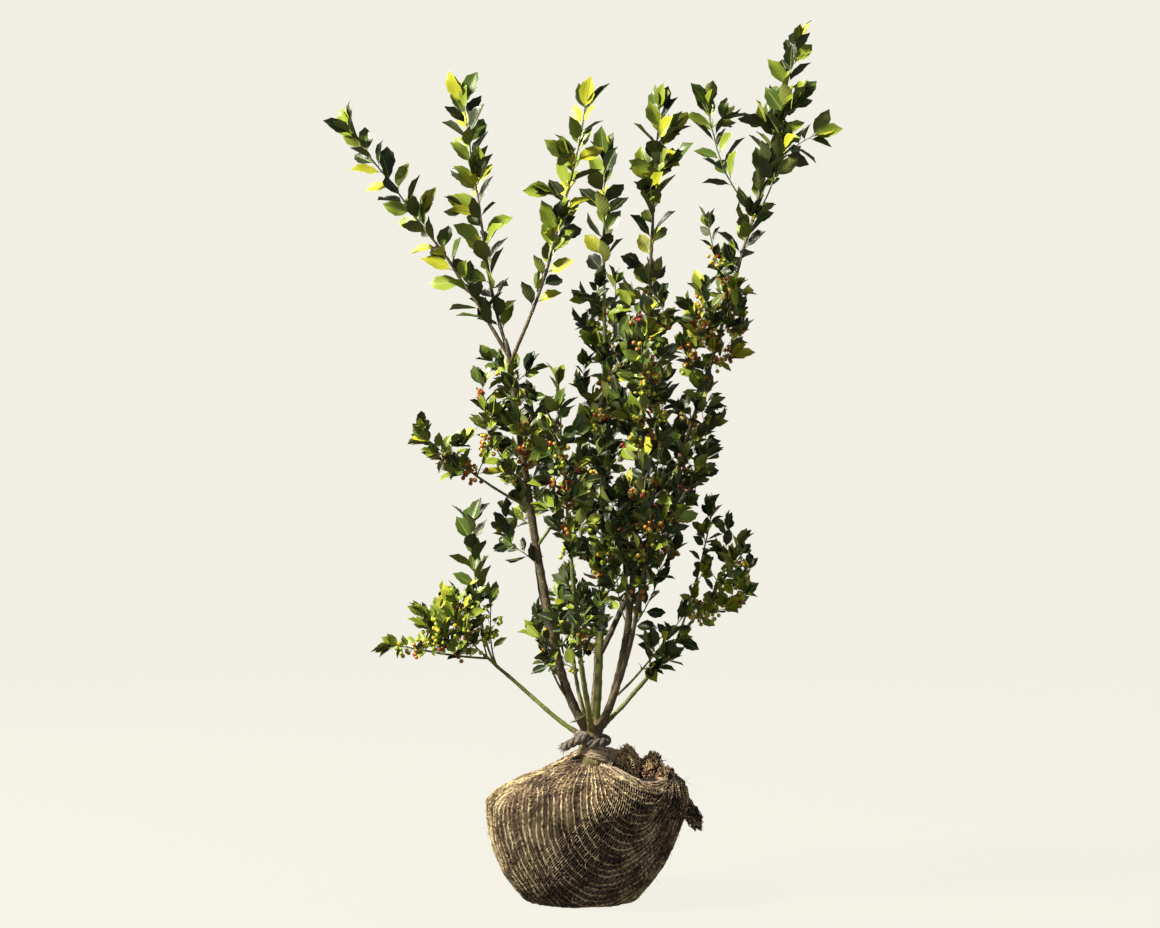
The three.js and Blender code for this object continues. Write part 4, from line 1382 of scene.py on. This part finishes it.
# Loose turns of the same jute that slant down over the right of the trunk.
def makeWraps(rng):
    lines = []
    for wrap in range(wraps["turns"]):
        start, sweep = (math.radians(rng.uniform(*wraps[key])) for key in ("start", "sweep"))
        top, drop = tie["height"] + 4 - wrap * wraps["spacing"], rng.uniform(*wraps["drop"])
        for strand in range(wraps["strands"]):
            points, radii = [], []
            for k in range(22):
                share = k / 21
                angle = start + sweep * share
                turn = strand * 1.6 + share * 7
                height = top - drop * share + 1.8 * math.sin(turn)
                radius = tie["wrapRadius"] + 0.25 * (tie["height"] - height) + 1.5 * math.cos(turn)
                x = wood["crown"][0] + radius * math.cos(angle)
                points.append(Vector((x, radius * math.sin(angle), height)) * mm)
                radii.append(rng.uniform(1.1, 1.5) * mm)
            lines.append((points, radii))
    return lines


def makeFibres(spots, normals, rng):
    lines = []
    places = np.argwhere(~np.isnan(spots[:, :, 0]))
    for _ in range(fibres["count"]):
        j, k = places[rng.randrange(len(places))]
        base, out = Vector(spots[j, k]), Vector(normals[j, k])
        way = (out * 0.5 + scatter(rng, 0.7)).normalized()
        length = rng.uniform(*fibres["length"]) * mm
        curl = scatter(rng, 0.5) * length
        points = [base + out * mm + way * length * t + curl * t * t for t in (0, 0.35, 0.7, 1)]
        if min(p.z for p in points) > 0.5 * mm:
            lines.append((points, [0.22 * mm, 0.2 * mm, 0.16 * mm, 0.1 * mm]))
    return lines


# The cut edges of the net, rolled over and over, beside the hollow.
def makeHems(spots, normals, rng):
    lines = []
    for row in (0, -1):
        keep = np.flatnonzero(~np.isnan(spots[row, :, 0]))
        path = [Vector(p) for p in spots[row, keep]]
        out = [Vector(n) for n in normals[row, keep]]
        for strand in range(hem["strands"]):
            phase = rng.uniform(0, math.tau)
            points = []
            for k, (p, n) in enumerate(zip(path, out)):
                ahead = (path[min(k + 1, len(path) - 1)] - path[max(k - 1, 0)]).normalized()
                side = ahead.cross(n)
                angle = phase + k * hem["twist"]
                roll = (n * math.cos(angle) + side * math.sin(angle)) * hem["roll"] * mm
                wobble = noise.noise_vector(p * 90 + Vector((strand, 0, 0))) * 1.8 * mm
                points.append(p + n * 1.6 * mm + roll + wobble)
            lines.append((points, [hem["radius"] * mm] * len(points)))
    return lines


# The net's mouth, bunched round the foot of the trunk.
def makeCollar(rng):
    lines = []
    for _ in range(collar["yarns"]):
        level = rng.uniform(0, 1)
        start, sweep, seed = rng.uniform(0, math.tau), rng.uniform(1.2, 4.5), rng.uniform(0, 90)
        points = []
        for k in range(20):
            angle = start + sweep * k / 19
            ripple = noise.noise(Vector((math.cos(angle) * 2, math.sin(angle) * 2, seed)))
            radius = collar["radius"] + collar["spread"] * level + 3.0 * ripple
            front = max(0, -math.sin(angle))
            fall = collar["fall"] * level
            lumps = 4.0 * noise.noise(Vector((angle * 1.5, seed, 4)))
            height = collar["height"] - fall - collar["frontDrop"] * front + lumps
            x = collar["middle"] + radius * math.cos(angle)
            points.append(Vector((x, radius * math.sin(angle) * 0.95, height)) * mm)
        lines.append((points, [rng.uniform(0.7, 1.3) * mm] * 20))
    return lines


def makeBall():
    skin = ballSkin()
    makeSoil(skin)
    heart, spots, perYarn = layNet(skin)
    heavy, thin, weft, normals = weaveNet(heart, spots, perYarn)
    skin.free()
    finishPiece(drawLines("net_yarns", heavy, 0, strawJute), "jute")
    finishPiece(drawLines("net_fine_warps", thin, 0, muddyJute), "jute")
    finishPiece(drawLines("net_wefts", weft, 0, rungJute), "jute")
    rng = Random("fibres")
    finishPiece(drawLines("net_fibres", makeFibres(spots, normals, rng), 0, strawJute), "jute")
    finishPiece(drawLines("net_hems", makeHems(spots, normals, rng), 0, hemJute), "jute")
    finishPiece(drawLines("net_collar", makeCollar(rng), 0, hemJute), "jute")
    for name, bundle in bundles.items():
        stoodFor = [bundle["node"]] if bundle["node"] else []
        finishPiece(makeBundleCore(name + "_core", bundle), "jute", *stoodFor)
        yarns, rungs, straws = bundleLines(bundle, Random(name))
        jute = lumpJute if bundle["pale"] else muddyJute
        finishPiece(drawLines(name + "_yarns", yarns, 0, jute), "jute")
        finishPiece(drawLines(name + "_rungs", rungs, 0, jute), "jute")
        finishPiece(drawLines(name + "_straws", straws, 0, lumpJute), "jute")
    makeTie()
    finishPiece(drawLines("tie_wraps", makeWraps(Random("wraps")), 1, hemJute), "jute")


makeBall()
report("root ball")

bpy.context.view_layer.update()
report("done")
